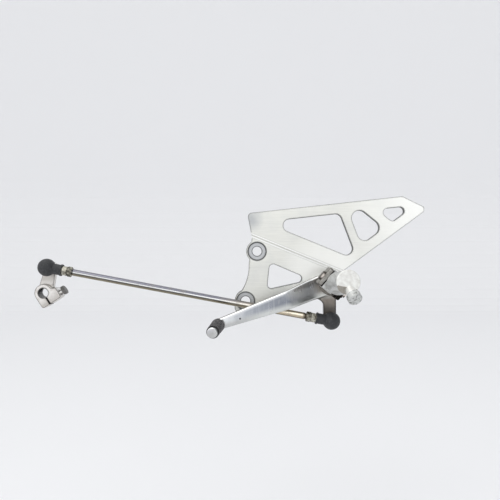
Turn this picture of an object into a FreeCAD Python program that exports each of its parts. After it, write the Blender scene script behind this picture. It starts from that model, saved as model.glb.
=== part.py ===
import FreeCAD, Part
import math
import os
import Sketcher

Vector = FreeCAD.Vector
Rotation = FreeCAD.Rotation
Placement = FreeCAD.Placement

# Driving sizes, in millimetres and degrees
SIZES = {
    # frame bolts and the plate around them
    "bolt_spacing": 60,
    "bolt_lean": 13,
    "bolt_hole_radius": 5.5,
    "bolt_seat_radius": 10.5,
    "bolt_seat_depth": 2.5,
    "bolt_boss_radius": 12.8,
    "boss_height": 3,
    "guard_thickness": 7,
    "mount_thickness": 10,
    "side_neck_x": -3,
    "side_neck_z": 14,
    "side_sweep_radius": 55.6,
    "notch_x": 0.7,
    "notch_z": 45.5,
    "step_rise": 4.4,
    "step_share": 0.157,
    "step_bevel": 2.6,
    # heel guard
    "guard_heel_x": -4.8,
    "guard_heel_z": 74.2,
    "guard_length": 183.1,
    "guard_rise": 20.1,
    "tip_reach": 25.7,
    "tip_drop": 12.6,
    "tip_height": 5.6,
    "rim_width": 12.3,
    "step_margin": 18.8,
    "web_width": 10.5,
    "short_web_width": 11.9,
    "long_web_top_share": 0.602,
    "long_web_foot_share": 0.348,
    "short_web_top_share": 0.718,
    "short_web_foot_share": 0.715,
    "long_window_corner": 7.5,
    "short_window_corner": 9.2,
    "tip_window_corner": 5,
    "low_window_left_top_x": 21.7,
    "low_window_left_top_z": 16.2,
    "low_window_left_foot_x": 18.4,
    "low_window_left_foot_z": -15.9,
    "low_window_point_x": 70.1,
    "low_window_point_z": -4.4,
    "low_window_corner": 4.8,
    "plate_corner": 4.5,
    "tip_corner": 2.4,
    "plate_edge_round": 0.8,
    # pivot stack
    "pivot_x": 90.5,
    "pivot_z": -7.5,
    "pivot_boss_radius": 16,
    "spigot_radius": 7,
    "spigot_short": 1.5,
    "spigot_fit": 0.03,
    "journal_radius": 8.5,
    "running_fit": 0.05,
    "press_fit": 0.02,
    "side_play": 0.15,
    "thrust_washer_thickness": 1,
    "thrust_washer_radius": 13,
    "hub_length": 16,
    "hub_wall": 3.5,
    "bush_wall": 1.5,
    "seal_thickness": 2.2,
    "flange_radius": 13.5,
    "flange_thickness": 5,
    "flange_bevel": 1,
    "holder_bolt_radius": 4,
    "holder_bolt_depth": 16,
    "holder_washer_thickness": 1.5,
    "holder_washer_radius": 10,
    "holder_bolt_flats": 13,
    "holder_bolt_head": 7,
    "screw_fit": 0.05,
    # clevis, pin and spring
    "fold_angle": 49.8,
    "pin_rise": 13.7,
    "pin_radius": 4,
    "pin_head_radius": 5.6,
    "pin_head_thickness": 3,
    "pin_tail": 3.2,
    "clip_thickness": 1,
    "clip_radius": 6.4,
    "clip_groove_depth": 0.8,
    "clevis_gap": 20.6,
    "ear_thickness": 4.5,
    "ear_back": 10.4,
    "ear_front": 12.6,
    "ear_rise": 6.5,
    "ear_corner": 3,
    "ear_round": 1,
    "spring_wire_radius": 0.7,
    "spring_coil_radius": 5.4,
    "spring_turns": 3,
    "spring_pitch": 1.65,
    "spring_play": 0.3,
    "spring_leg_gap": 2.2,
    # footpeg
    "peg_tilt": 8,
    "peg_length": 63,
    "peg_radius": 12.25,
    "peg_root_radius": 9.6,
    "peg_root_start": 8.6,
    "peg_neck_end": 15.5,
    "peg_root_end": 21,
    "knuckle_radius": 9.2,
    "knuckle_play": 0.9,
    "shoulder_reach": 13,
    "shoulder_start": 1.5,
    "shoulder_top": 10,
    "heel_reach": 10.2,
    "heel_play": 0.1,
    "grip_first": 24,
    "grip_width": 2.6,
    "grip_depth": 1.4,
    "grip_pitch": 6,
    "peg_end_land": 4,
    "peg_end_bevel": 0.8,
    "facet_turn": 208,
    "facet_drop": 5.6,
    "sensor_turn": 234,
    "sensor_slope": 45,
    "sensor_start": 52,
    "sensor_boss_radius": 5.2,
    "sensor_boss_length": 18.6,
    "sensor_radius": 7.2,
    "sensor_length": 8,
    "sensor_neck_radius": 4.6,
    "sensor_neck_length": 1,
    "sensor_thread_radius": 3.2,
    "sensor_thread_length": 10,
    # gear lever
    "lever_angle": 199.4,
    "lever_length": 134.9,
    "bar_root_width": 26.2,
    "bar_toe_width": 11.9,
    "bar_root_back": 2.9,
    "bar_root_thickness": 11,
    "bar_raise": 21.5,
    "bar_thickness": 9,
    "bar_bend_start": 22,
    "bar_bend_run": 28,
    "bar_bend_lag": 5,
    "bar_bend_radius": 28,
    "bar_edge_round": 2.2,
    "toe_boss_radius": 6.4,
    "toe_tilt": 11.5,
    "toe_turn": 22.5,
    "toe_spigot_radius": 4,
    "toe_core_radius": 5,
    "toe_cap_radius": 5.7,
    "toe_cap_thickness": 3.4,
    "toe_rubber_start": 2,
    "toe_rubber_length": 27,
    "toe_rubber_back_radius": 7.6,
    "toe_rubber_front_radius": 6.9,
    "toe_rib_pitch": 4.2,
    "toe_rib_depth": 0.8,
    "low_arm_turn": 71.2,
    "low_arm_length": 42.4,
    "low_arm_back": 0.85,
    "arm_thickness": 6.5,
    "low_arm_root_width": 14.6,
    "low_arm_end_radius": 7.2,
    "gusset_bar_reach": 22,
    "gusset_arm_reach": 26,
    "gusset_radius": 10,
    # ball joints and linkage
    "ball_radius": 5,
    "stud_reach": 11.5,
    "stud_thread_radius": 3,
    "stud_collar_radius": 5,
    "stud_collar_height": 2.5,
    "stud_neck_radius": 2.9,
    "stud_tail": 6.2,
    "nut_flats": 10,
    "nut_thickness": 5,
    "socket_radius": 8.4,
    "socket_lip": 3.2,
    "socket_shank_radius": 4.7,
    "socket_hex_start": 19,
    "socket_length": 24,
    "boot_wall": 1.5,
    "boot_play": 0.1,
    "boot_neck_radius": 6,
    "boot_length": 18,
    "boot_lip_radius": 6.7,
    "boot_lip_width": 1.7,
    "boot_gap": 0.3,
    "boot_mouth_radius": 3.5,
    "rod_radius": 3.75,
    "rod_shoulder": 31,
    "rod_thread_inset": 13,
    "lock_nut_thickness": 5.5,
    "front_ball_x": -232.6,
    "front_ball_z": 10.9,
    # shift arm
    "shift_bore_x": -239.1,
    "shift_bore_z": -18.7,
    "shift_bore_radius": 6,
    "clamp_wall": 3.9,
    "clamp_back": 2,
    "clamp_depth": 14,
    "shift_arm_end_radius": 6.2,
    "shift_arm_root_width": 17,
    "slit_turn": 45.4,
    "slit_width": 1.5,
    "lug_reach": 15,
    "lug_seat": 15,
    "lug_far": 10,
    "lug_corner": 2.5,
    "pinch_offset": 9.5,
    "pinch_radius": 3,
    "pinch_gap": 3.4,
    "pinch_head": 3.7,
    "pinch_length": 24,
}

document = FreeCAD.newDocument("FootpegHanger")
sheet = document.addObject("Spreadsheet::Sheet", "Sizes")
for row, (alias, number) in enumerate(SIZES.items(), 1):
    sheet.set(f"A{row}", alias)
    sheet.set(f"B{row}", str(number))
    sheet.setAlias(f"B{row}", alias)
document.recompute()


class Size:
    """A number that keeps its sheet formula beside it."""

    def __init__(self, value, formula):
        self.value = float(value)
        self.formula = formula

    def joined(self, sign, value, other):
        return Size(value, f"({self.formula} {sign} {other.formula})")

    def __add__(self, other):
        other = as_size(other)
        return self.joined("+", self.value + other.value, other)

    def __sub__(self, other):
        other = as_size(other)
        return self.joined("-", self.value - other.value, other)

    def __mul__(self, other):
        other = as_size(other)
        return self.joined("*", self.value * other.value, other)

    def __truediv__(self, other):
        other = as_size(other)
        return self.joined("/", self.value / other.value, other)

    def __neg__(self):
        return Size(-self.value, f"(0 - {self.formula})")


def as_size(entry):
    if isinstance(entry, Size):
        return entry
    return Size(entry, f"({entry})")


def size(alias):
    return Size(sheet.get(alias), f"Sizes.{alias}")


def root(entry):
    return Size(math.sqrt(entry.value), f"sqrt({entry.formula})")


def sine(angle):
    return Size(math.sin(math.radians(angle.value)), f"sin({angle.formula})")


def cosine(angle):
    return Size(math.cos(math.radians(angle.value)), f"cos({angle.formula})")


def tie(item, property_name, entry):
    item.setExpression(property_name, as_size(entry).formula)


def new_body(name):
    body = document.addObject("PartDesign::Body", name)
    body.Label = name
    return body


def new_sketch(body, plane="XY_Plane", lift=None, seat=None):
    """Sketch on an origin plane, lifted along its normal or seated by a placement."""
    sketch = body.newObject("Sketcher::SketchObject", f"{body.Name}_sketch")
    support = next(item for item in body.Origin.OriginFeatures if item.Role == plane)
    sketch.AttachmentSupport = (support, [""])
    sketch.MapMode = "FlatFace"
    if seat is not None:
        sketch.AttachmentOffset = seat
    if lift is not None:
        tie(sketch, "AttachmentOffset.Base.z", lift)
    return sketch


def pin_point(sketch, geometry, end, x, y):
    """Hold one end of a drawn line at sheet-driven coordinates."""
    for kind, entry, axis in (("DistanceX", x, -2), ("DistanceY", y, -1)):
        entry = as_size(entry)
        if entry.formula in ("(0)", "(0.0)"):
            sketch.addConstraint(Sketcher.Constraint("PointOnObject", geometry, end, axis))
            continue
        index = sketch.addConstraint(Sketcher.Constraint(kind, -1, 1, geometry, end, entry.value))
        tie(sketch, f"Constraints[{index}]", entry)


def draw_outline(sketch, corners, bends=None):
    """Closed outline through the corners; a bend is the radius and side of the arc after a corner."""
    bends = bends or {}
    spots = [Vector(as_size(x).value, as_size(y).value, 0) for x, y in corners]
    ends = []
    for number, start in enumerate(spots):
        finish = spots[(number + 1) % len(spots)]
        if number not in bends:
            ends.append((sketch.addGeometry(Part.LineSegment(start, finish), False), 1, 2))
            continue
        radius, side = bends[number]
        half = (finish - start) * 0.5
        reach = math.sqrt(max(radius.value ** 2 - half.Length ** 2, 0))
        centre = start + half + Vector(-half.y, half.x, 0).normalize() * (reach * side)
        turns = [math.atan2(spot.y - centre.y, spot.x - centre.x) for spot in (start, finish)]
        clockwise = side < 0
        if clockwise:
            turns.reverse()
        circle = Part.Circle(centre, Vector(0, 0, 1), radius.value)
        arc = sketch.addGeometry(Part.ArcOfCircle(circle, turns[0], turns[1]), False)
        index = sketch.addConstraint(Sketcher.Constraint("Radius", arc, radius.value))
        tie(sketch, f"Constraints[{index}]", radius)
        ends.append((arc, 2, 1) if clockwise else (arc, 1, 2))
    for number, (geometry, first, last) in enumerate(ends):
        following = ends[(number + 1) % len(ends)]
        sketch.addConstraint(Sketcher.Constraint("Coincident", geometry, last, following[0], following[1]))
        pin_point(sketch, geometry, first, *corners[number])
    return ends


def draw_circle(sketch, x, y, radius):
    centre = Vector(as_size(x).value, as_size(y).value, 0)
    circle = sketch.addGeometry(Part.Circle(centre, Vector(0, 0, 1), as_size(radius).value), False)
    pin_point(sketch, circle, 3, x, y)
    index = sketch.addConstraint(Sketcher.Constraint("Radius", circle, as_size(radius).value))
    tie(sketch, f"Constraints[{index}]", radius)


def draw_hexagon(sketch, flats):
    corner = flats / math.sqrt(3)
    corners = []
    for number in range(6):
        turn = math.radians(60 * number + 30)
        corners.append((corner * round(math.cos(turn), 9), corner * round(math.sin(turn), 9)))
    draw_outline(sketch, corners)


def add_pad(body, sketch, length):
    pad = body.newObject("PartDesign::Pad", f"{body.Name}_pad")
    pad.Profile = sketch
    tie(pad, "Length", length)
    document.recompute()
    return pad


def add_pocket(body, sketch, length, backwards=False):
    pocket = body.newObject("PartDesign::Pocket", f"{body.Name}_pocket")
    pocket.Profile = sketch
    pocket.Reversed = backwards
    tie(pocket, "Length", length)
    document.recompute()
    return pocket


def add_turning(body, sketch, axis="V_Axis", kind="PartDesign::Revolution"):
    turning = body.newObject(kind, f"{body.Name}_turning")
    turning.Profile = sketch
    turning.ReferenceAxis = (sketch, [axis])
    turning.Angle = 360
    document.recompute()
    return turning


def add_round(body, names, radius, kind="PartDesign::Fillet"):
    """Fillet or chamfer on named edges of the body's last feature."""
    base = body.Tip
    finish = body.newObject(kind, f"{body.Name}_round")
    finish.Base = (base, names)
    tie(finish, "Size" if kind.endswith("Chamfer") else "Radius", radius)
    document.recompute()
    return finish


def edges_along(shape, axis, spots):
    """Names of the straight edges along one axis that stand at the given spots across it."""
    across = [number for number in range(3) if number != axis]
    names = []
    for index, edge in enumerate(shape.Edges, 1):
        first = edge.Vertexes[0].Point
        run = edge.Vertexes[-1].Point - first
        if edge.Curve.TypeId != "Part::GeomLine" or abs(run[axis]) < run.Length * 0.9999:
            continue
        for spot in spots:
            if all(abs(first[way] - spot[number]) < 0.02 for number, way in enumerate(across)):
                names.append(f"Edge{index}")
    return names


def face_on(body, x, z, angle, depth=0):
    """Seat a body seen from the front: its Z comes forward, its X turned by the angle."""
    turn = Rotation(Vector(0, -1, 0), as_size(angle).value)
    lay = Rotation(Vector(1, 0, 0), 90)
    base = Vector(as_size(x).value, -as_size(depth).value, as_size(z).value)
    body.Placement = Placement(base, turn * lay)


def turned(name, corners, bends=None):
    """Body turned about its Z axis from (radius, height) corners."""
    body = new_body(name)
    sketch = new_sketch(body, "XZ_Plane")
    draw_outline(sketch, corners, bends)
    add_turning(body, sketch)
    return body


def ring(name, inner, outer, low, high):
    return turned(name, [(inner, low), (outer, low), (outer, high), (inner, high)])


def nut(name, flats, hole, thickness):
    """Hexagon nut standing on its Z axis, with both corner ends bevelled."""
    body = new_body(name)
    sketch = new_sketch(body)
    draw_hexagon(sketch, flats)
    draw_circle(sketch, 0, 0, hole)
    add_pad(body, sketch, thickness)
    bevel_hexagon(body, flats, thickness, 1)
    bevel_hexagon(body, flats, as_size(0), -1)
    return body


def bevel_hexagon(body, flats, level, way):
    """Turn the corners of a hexagon away at one level, upward or downward."""
    sketch = new_sketch(body, "XZ_Plane")
    inner = flats * 0.47
    outer = flats * 0.62
    drop = (outer - inner) * 0.55 * way
    draw_outline(sketch, [(inner, level), (outer, level - drop), (outer, level + 0.5 * way),
                          (inner, level + 0.5 * way)])
    add_turning(body, sketch, kind="PartDesign::Groove")


# Heights above the mounting face, toward the rider's side
plate_back = size("boss_height")
guard_front = plate_back + size("guard_thickness")
mount_front = plate_back + size("mount_thickness")
washer_front = mount_front + size("thrust_washer_thickness")
hub_back = washer_front + size("side_play")
hub_front = hub_back + size("hub_length")
flange_back = hub_front + size("side_play")
flange_front = flange_back + size("flange_thickness")
pin_height = flange_front + size("pin_rise")
arm_back = hub_back + size("low_arm_back")
arm_front = arm_back + size("arm_thickness")
ball_height = arm_front + size("stud_reach")

# Step plate: outline corners, seen from the front
def between(start, finish, share):
    return tuple(start[way] + (finish[way] - start[way]) * share for way in (0, 1))


bolt_x = sine(size("bolt_lean")) * size("bolt_spacing") / 2
bolt_z = cosine(size("bolt_lean")) * size("bolt_spacing") / 2
pivot = (size("pivot_x"), size("pivot_z"))
heel = (size("guard_heel_x"), size("guard_heel_z"))
crown = (heel[0] + size("guard_length"), heel[1] + size("guard_rise"))
tip_top = (crown[0] + size("tip_reach"), crown[1] - size("tip_drop"))
tip_foot = (tip_top[0], tip_top[1] - size("tip_height"))
boss_radius = size("bolt_boss_radius")
boss_low = (pivot[0] + size("pivot_boss_radius") * 0.187, pivot[1] - size("pivot_boss_radius") * 0.982)
foot_low = (boss_radius * 0.187 - bolt_x, -bolt_z - boss_radius * 0.982)
foot = (-bolt_x - boss_radius, foot_low[1])
side_low = (foot[0], -bolt_z + 2)
side_neck = (size("side_neck_x"), size("side_neck_z"))
notch = (size("notch_x"), size("notch_z"))
step_part = size("step_rise") / (heel[1] - notch[1])
step_left = (notch[0] + (heel[0] - notch[0]) * step_part, notch[1] + size("step_rise"))
step_right = between(pivot, tip_foot, size("step_share"))
lower_corners = [pivot, boss_low, foot_low, foot, side_low, side_neck, notch]

plate = new_body("step_plate")
whole = new_sketch(plate, lift=plate_back)
draw_outline(whole, [heel, crown, tip_top, tip_foot] + lower_corners,
             {8: (size("side_sweep_radius"), 1)})
add_pad(plate, whole, size("guard_thickness"))
lower = new_sketch(plate, lift=plate_back)
draw_outline(lower, [step_left, step_right] + lower_corners, {6: (size("side_sweep_radius"), 1)})
add_pad(plate, lower, size("mount_thickness"))
pivot_disc = new_sketch(plate, lift=plate_back)
draw_circle(pivot_disc, *pivot, size("pivot_boss_radius"))
add_pad(plate, pivot_disc, size("mount_thickness"))
for way in (1, -1):
    boss = new_sketch(plate)
    draw_circle(boss, bolt_x * way, bolt_z * way, boss_radius)
    add_pad(plate, boss, mount_front)


# Plate windows: three beside the webs of the heel guard, one in the mounting part
def line_of(sketch, start, finish):
    ends = [Vector(start[0].value, start[1].value, 0), Vector(finish[0].value, finish[1].value, 0)]
    line = sketch.addGeometry(Part.LineSegment(*ends), True)
    pin_point(sketch, line, 1, *start)
    pin_point(sketch, line, 2, *finish)
    return line, ends


def meeting(first, second):
    """Crossing point of two endless lines given as (point, direction)."""
    gap = second[0] - first[0]
    turn = first[1].x * second[1].y - first[1].y * second[1].x
    along = (gap.x * second[1].y - gap.y * second[1].x) / turn
    return first[0] + first[1] * along


def cut_window(sides, corner):
    """Three-sided window with round corners whose edges keep a set distance to three guide lines."""
    sketch = new_sketch(plate, lift=mount_front + 1)
    guides = []
    rails = []
    for start, finish, distance, side in sides:
        line, ends = line_of(sketch, start, finish)
        run = (ends[1] - ends[0]).normalize()
        guides.append(line)
        rails.append((ends[0] + Vector(-run.y, run.x, 0) * (distance.value * side), run))
    spots = [meeting(rails[number - 1], rails[number]) for number in range(3)]
    edges = []
    arcs = []
    for number, spot in enumerate(spots):
        ways = [(spots[(number + step) % 3] - spot).normalize() for step in (1, -1)]
        half_turn = ways[0].getAngle(ways[1]) / 2
        trim = corner.value / math.tan(half_turn)
        centre = spot + (ways[0] + ways[1]).normalize() * (corner.value / math.sin(half_turn))
        touch = [spot + way * trim for way in ways]
        arcs.append((centre, touch))
    for number in range(3):
        segment = Part.LineSegment(arcs[number][1][0], arcs[(number + 1) % 3][1][1])
        edges.append(sketch.addGeometry(segment, False))
    clockwise = (spots[1] - spots[0]).cross(spots[2] - spots[0]).z < 0
    for number in range(3):
        centre, touch = arcs[number]
        arms = [spot - centre for spot in (touch[1], touch[0])]
        turns = [math.atan2(arm.y, arm.x) for arm in arms]
        if clockwise:
            turns.reverse()
        circle = Part.Circle(centre, Vector(0, 0, 1), corner.value)
        arc = sketch.addGeometry(Part.ArcOfCircle(circle, turns[0], turns[1]), False)
        before, after = (2, 1) if clockwise else (1, 2)
        sketch.addConstraint(Sketcher.Constraint("Tangent", edges[number - 1], 2, arc, before))
        sketch.addConstraint(Sketcher.Constraint("Tangent", arc, after, edges[number], 1))
        index = sketch.addConstraint(Sketcher.Constraint("Radius", arc, corner.value))
        tie(sketch, f"Constraints[{index}]", corner)
        distance = sides[number][2]
        sketch.addConstraint(Sketcher.Constraint("Parallel", edges[number], guides[number]))
        index = sketch.addConstraint(
            Sketcher.Constraint("Distance", edges[number], 1, guides[number], distance.value))
        tie(sketch, f"Constraints[{index}]", distance)
    add_pocket(plate, sketch, mount_front + 2)


def round_uprights(spots, radius):
    add_round(plate, edges_along(plate.Tip.Shape, 2, spots), radius)


long_web = (between(heel, crown, size("long_web_top_share")),
            between(pivot, tip_foot, size("long_web_foot_share")))
short_web = (between(heel, crown, size("short_web_top_share")),
             between(pivot, tip_foot, size("short_web_foot_share")))
half_web = size("web_width") / 2
half_short_web = size("short_web_width") / 2
rim = size("rim_width")
cut_window([(heel, crown, rim, -1), (*long_web, half_web, -1),
            (step_left, step_right, size("step_margin"), 1)], size("long_window_corner"))
cut_window([(*long_web, half_web, 1), (*short_web, half_short_web, -1),
            (pivot, tip_foot, rim, 1)], size("short_window_corner"))
cut_window([(heel, crown, rim, -1), (*short_web, half_short_web, 1),
            (pivot, tip_foot, rim, 1)], size("tip_window_corner"))
low_window = [(size(f"low_window_{spot}_x"), size(f"low_window_{spot}_z"))
              for spot in ("left_top", "left_foot", "point")]
window = new_sketch(plate, lift=mount_front + 1)
draw_outline(window, low_window)
add_pocket(plate, window, mount_front + 2)
round_uprights([(x.value, y.value) for x, y in low_window], size("low_window_corner"))

# Plate finish: frame bolt holes with seats, the pivot bore, corners, the bevelled step
for way in (1, -1):
    for radius, depth in ((size("bolt_hole_radius"), mount_front + 2),
                          (size("bolt_seat_radius"), size("bolt_seat_depth") + 1)):
        hole = new_sketch(plate, lift=mount_front + 1)
        draw_circle(hole, bolt_x * way, bolt_z * way, radius)
        add_pocket(plate, hole, depth)
bore = new_sketch(plate, lift=mount_front + 1)
draw_circle(bore, *pivot, size("spigot_radius") + size("spigot_fit"))
add_pocket(plate, bore, mount_front + 2)
for corner_spots, radius in (((heel, crown, foot, notch), size("plate_corner")),
                             ((tip_top, tip_foot), size("tip_corner"))):
    round_uprights([(spot[0].value, spot[1].value) for spot in corner_spots], radius)
step_run = Vector(step_right[0].value - step_left[0].value, step_right[1].value - step_left[1].value, 0)
step_names = []
for index, edge in enumerate(plate.Tip.Shape.Edges, 1):
    run = edge.Vertexes[-1].Point - edge.Vertexes[0].Point
    level = abs(edge.Vertexes[0].Point.z - mount_front.value) < 0.001
    if level and run.Length > 20 and run.cross(step_run).Length < 0.001 * run.Length * step_run.Length:
        start = edge.Vertexes[0].Point - Vector(step_left[0].value, step_left[1].value, mount_front.value)
        if start.cross(step_run).Length < 0.01 * step_run.Length:
            step_names.append(f"Edge{index}")
add_round(plate, step_names, size("step_bevel"), "PartDesign::Chamfer")


# Plate edges: rounded round the guard and in the openings of the mounting part
def flat_edges(level, wanted):
    """Names of the plate's edges at one level, told apart by being in an opening and by their centre."""
    shape = plate.Tip.Shape
    opening_edges = []
    for face in shape.Faces:
        for wire in face.Wires:
            if abs(face.normalAt(0, 0).z) > 0.999 and not wire.isSame(face.OuterWire):
                opening_edges += wire.Edges
    names = []
    for index, edge in enumerate(shape.Edges, 1):
        if any(abs(vertex.Point.z - level.value) > 0.001 for vertex in edge.Vertexes):
            continue
        in_opening = any(edge.isSame(other) for other in opening_edges)
        if wanted(in_opening, edge.CenterOfMass):
            names.append(f"Edge{index}")
    return names


def beyond_step(spot):
    offset = spot - Vector(step_left[0].value, step_left[1].value, 0)
    return step_run.x * offset.y - step_run.y * offset.x > step_run.Length


edge_round = size("plate_edge_round")
add_round(plate, flat_edges(guard_front, lambda in_opening, spot: in_opening), edge_round)
add_round(plate, flat_edges(guard_front, lambda in_opening, spot: not in_opening and beyond_step(spot)),
          edge_round)
add_round(plate, flat_edges(mount_front, lambda in_opening, spot: in_opening), edge_round)
face_on(plate, 0, 0, 0)

# Peg holder: spigot, journal and flange turned, clevis ears on top
holder = new_body("peg_holder")
stem = new_sketch(holder, "XZ_Plane")
spigot_back = plate_back + size("spigot_short")
flange_bevel = size("flange_bevel")
draw_outline(stem, [
    (0, spigot_back), (size("spigot_radius"), spigot_back), (size("spigot_radius"), mount_front),
    (size("journal_radius"), mount_front), (size("journal_radius"), flange_back),
    (size("flange_radius") - flange_bevel, flange_back), (size("flange_radius"), flange_back + flange_bevel),
    (size("flange_radius"), flange_front), (0, flange_front)])
add_turning(holder, stem)
half_gap = size("clevis_gap") / 2
half_clevis = half_gap + size("ear_thickness")
ear_foot = flange_back + flange_bevel
ear_top = pin_height + size("ear_rise")
ear_ends = (-size("ear_back"), size("ear_front"))
ears = new_sketch(holder, "XZ_Plane", lift=-half_clevis)
draw_outline(ears, [(ear_ends[0], ear_foot), (ear_ends[1], ear_foot), (ear_ends[1], ear_top),
                    (ear_ends[0], ear_top)])
add_pad(holder, ears, half_clevis * 2)
add_round(holder, edges_along(holder.Tip.Shape, 1, [(end.value, ear_top.value) for end in ear_ends]),
          size("ear_corner"))
gap = new_sketch(holder, lift=ear_top + 1)
gap_ends = (ear_ends[0] - 1, ear_ends[1] + 1)
draw_outline(gap, [(gap_ends[0], -half_gap), (gap_ends[1], -half_gap), (gap_ends[1], half_gap),
                   (gap_ends[0], half_gap)])
add_pocket(holder, gap, size("pin_rise") + size("ear_rise") + 1)
pin_hole = new_sketch(holder, "XZ_Plane", lift=half_clevis + 1)
draw_circle(pin_hole, 0, pin_height, size("pin_radius") + size("press_fit"))
add_pocket(holder, pin_hole, half_clevis * 2 + 2)
bolt_hole = new_sketch(holder, lift=spigot_back)
draw_circle(bolt_hole, 0, 0, size("holder_bolt_radius") + size("screw_fit"))
add_pocket(holder, bolt_hole, size("holder_bolt_depth") + 1, backwards=True)
rims = []
for index, edge in enumerate(holder.Tip.Shape.Edges, 1):
    outside = all(abs(abs(vertex.Point.y) - half_clevis.value) < 0.001 for vertex in edge.Vertexes)
    above_foot = edge.CenterOfMass.z > ear_foot.value + 0.1
    if outside and above_foot and len(edge.Vertexes) == 2:
        rims.append(f"Edge{index}")
add_round(holder, rims, size("ear_round"))
face_on(holder, *pivot, size("fold_angle"))

# Holder bolt and washer, from behind
washer = ring("holder_washer", size("holder_bolt_radius") + 0.2, size("holder_washer_radius"),
              plate_back - size("holder_washer_thickness"), plate_back)
face_on(washer, *pivot, 0)
head_front = plate_back - size("holder_washer_thickness")
holder_bolt = new_body("holder_bolt")
bolt_head = new_sketch(holder_bolt, lift=head_front - size("holder_bolt_head"))
draw_hexagon(bolt_head, size("holder_bolt_flats"))
add_pad(holder_bolt, bolt_head, size("holder_bolt_head"))
bevel_hexagon(holder_bolt, size("holder_bolt_flats"), head_front - size("holder_bolt_head"), -1)
bolt_shank = new_sketch(holder_bolt, lift=head_front - 1)
draw_circle(bolt_shank, 0, 0, size("holder_bolt_radius"))
add_pad(holder_bolt, bolt_shank, spigot_back - head_front + size("holder_bolt_depth"))
face_on(holder_bolt, *pivot, 0)

# Thrust washer behind the lever hub
thrust = ring("thrust_washer", size("journal_radius") + size("running_fit"), size("thrust_washer_radius"),
              mount_front, washer_front)
face_on(thrust, *pivot, 0)

# Peg pin with its head at the upper ear and a clip in the groove at its tail
clip_back = half_clevis + size("side_play")
clip_end = clip_back + size("clip_thickness")
groove_radius = size("pin_radius") - size("clip_groove_depth")
pin = turned("peg_pin", [
    (0, -half_clevis - size("pin_head_thickness")),
    (size("pin_head_radius") - 0.8, -half_clevis - size("pin_head_thickness")),
    (size("pin_head_radius"), -half_clevis - size("pin_head_thickness") + 0.8),
    (size("pin_head_radius"), -half_clevis), (size("pin_radius"), -half_clevis),
    (size("pin_radius"), clip_back), (groove_radius, clip_back), (groove_radius, clip_end),
    (size("pin_radius"), clip_end), (size("pin_radius"), half_clevis + size("pin_tail")),
    (0, half_clevis + size("pin_tail"))])
fold_turn = math.radians(size("fold_angle").value)
pin_way = Vector(math.sin(fold_turn), 0, -math.cos(fold_turn))
pin_centre = Vector(pivot[0].value, -pin_height.value, pivot[1].value)
pin.Placement = Placement(pin_centre, Rotation(Vector(0, 0, 1), pin_way))
clip = new_body("pin_clip")
clip_plan = new_sketch(clip, lift=clip_back)
draw_circle(clip_plan, 0, 0, size("clip_radius"))
draw_circle(clip_plan, 0, 0, groove_radius + size("press_fit"))
add_pad(clip, clip_plan, size("clip_thickness"))
mouth = new_sketch(clip, lift=clip_end + 1)
mouth_half = groove_radius * 0.8
draw_outline(mouth, [(0, -mouth_half), (size("clip_radius") + 1, -mouth_half),
                     (size("clip_radius") + 1, mouth_half), (0, mouth_half)])
add_pocket(clip, mouth, size("clip_thickness") + 2)
clip.Placement = pin.Placement

# Footpeg: modelled upright along its own axis, then leaned by the tilt
peg = new_body("footpeg")
tilt = size("peg_tilt")
upright = Placement(Vector(0, 0, 0), Rotation(Vector(0, 0, 1), tilt.value))
knuckle_edge = half_gap - size("knuckle_play")
spring_gap = size("spring_play") + size("spring_wire_radius")
spring_room = size("spring_pitch") * size("spring_turns") + spring_gap * 2
knuckle_width = half_gap + knuckle_edge - spring_room
heel_low = size("heel_play") - size("pin_rise")
knuckle_seat = upright * Placement(Vector(0, 0, -knuckle_edge.value), Rotation())
knuckle_round = size("knuckle_radius")
knuckle = new_sketch(peg, "XZ_Plane", seat=knuckle_seat)
shoulder = size("shoulder_reach")
draw_outline(knuckle, [
    (-size("heel_reach"), heel_low), (-1, heel_low), (0, -knuckle_round), (knuckle_round, 0),
    (shoulder, size("shoulder_start")), (shoulder, size("shoulder_top")),
    (-size("heel_reach"), size("shoulder_top"))],
    {2: (knuckle_round, 1)})
add_pad(peg, knuckle, knuckle_width)
barrel = new_sketch(peg, "XZ_Plane")
peg_end = size("peg_length")
end_bevel = size("peg_end_bevel")
draw_outline(barrel, [
    (0, size("peg_root_start")), (size("peg_root_radius"), size("peg_root_start")),
    (size("peg_root_radius"), size("peg_neck_end")), (size("peg_radius"), size("peg_root_end")),
    (size("peg_radius"), peg_end - end_bevel),
    (size("peg_radius") - end_bevel, peg_end), (0, peg_end)])
add_turning(peg, barrel)

# Grip slots across the top of the peg
peg_out = size("peg_radius") + 2


def across_peg(turn):
    """Seat of a sketch along the peg's axis, turned about it and set back by the peg's half width."""
    return Placement(Vector(0, 0, 0), Rotation(Vector(0, 1, 0), turn)) * Placement(
        Vector(0, 0, -peg_out.value), Rotation())


slots = new_sketch(peg, "XZ_Plane", seat=across_peg(90 - size("fold_angle").value))
slot_room = peg_end - size("peg_end_land") - size("grip_width") - size("grip_first")
slot_floor = size("peg_radius") - size("grip_depth")
for number in range(int(slot_room.value / size("grip_pitch").value) + 1):
    start = size("grip_first") + size("grip_pitch") * number
    finish = start + size("grip_width")
    draw_outline(slots, [(slot_floor, start), (peg_out, start), (peg_out, finish), (slot_floor, finish)])
add_pocket(peg, slots, peg_out * 2, backwards=True)

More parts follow.
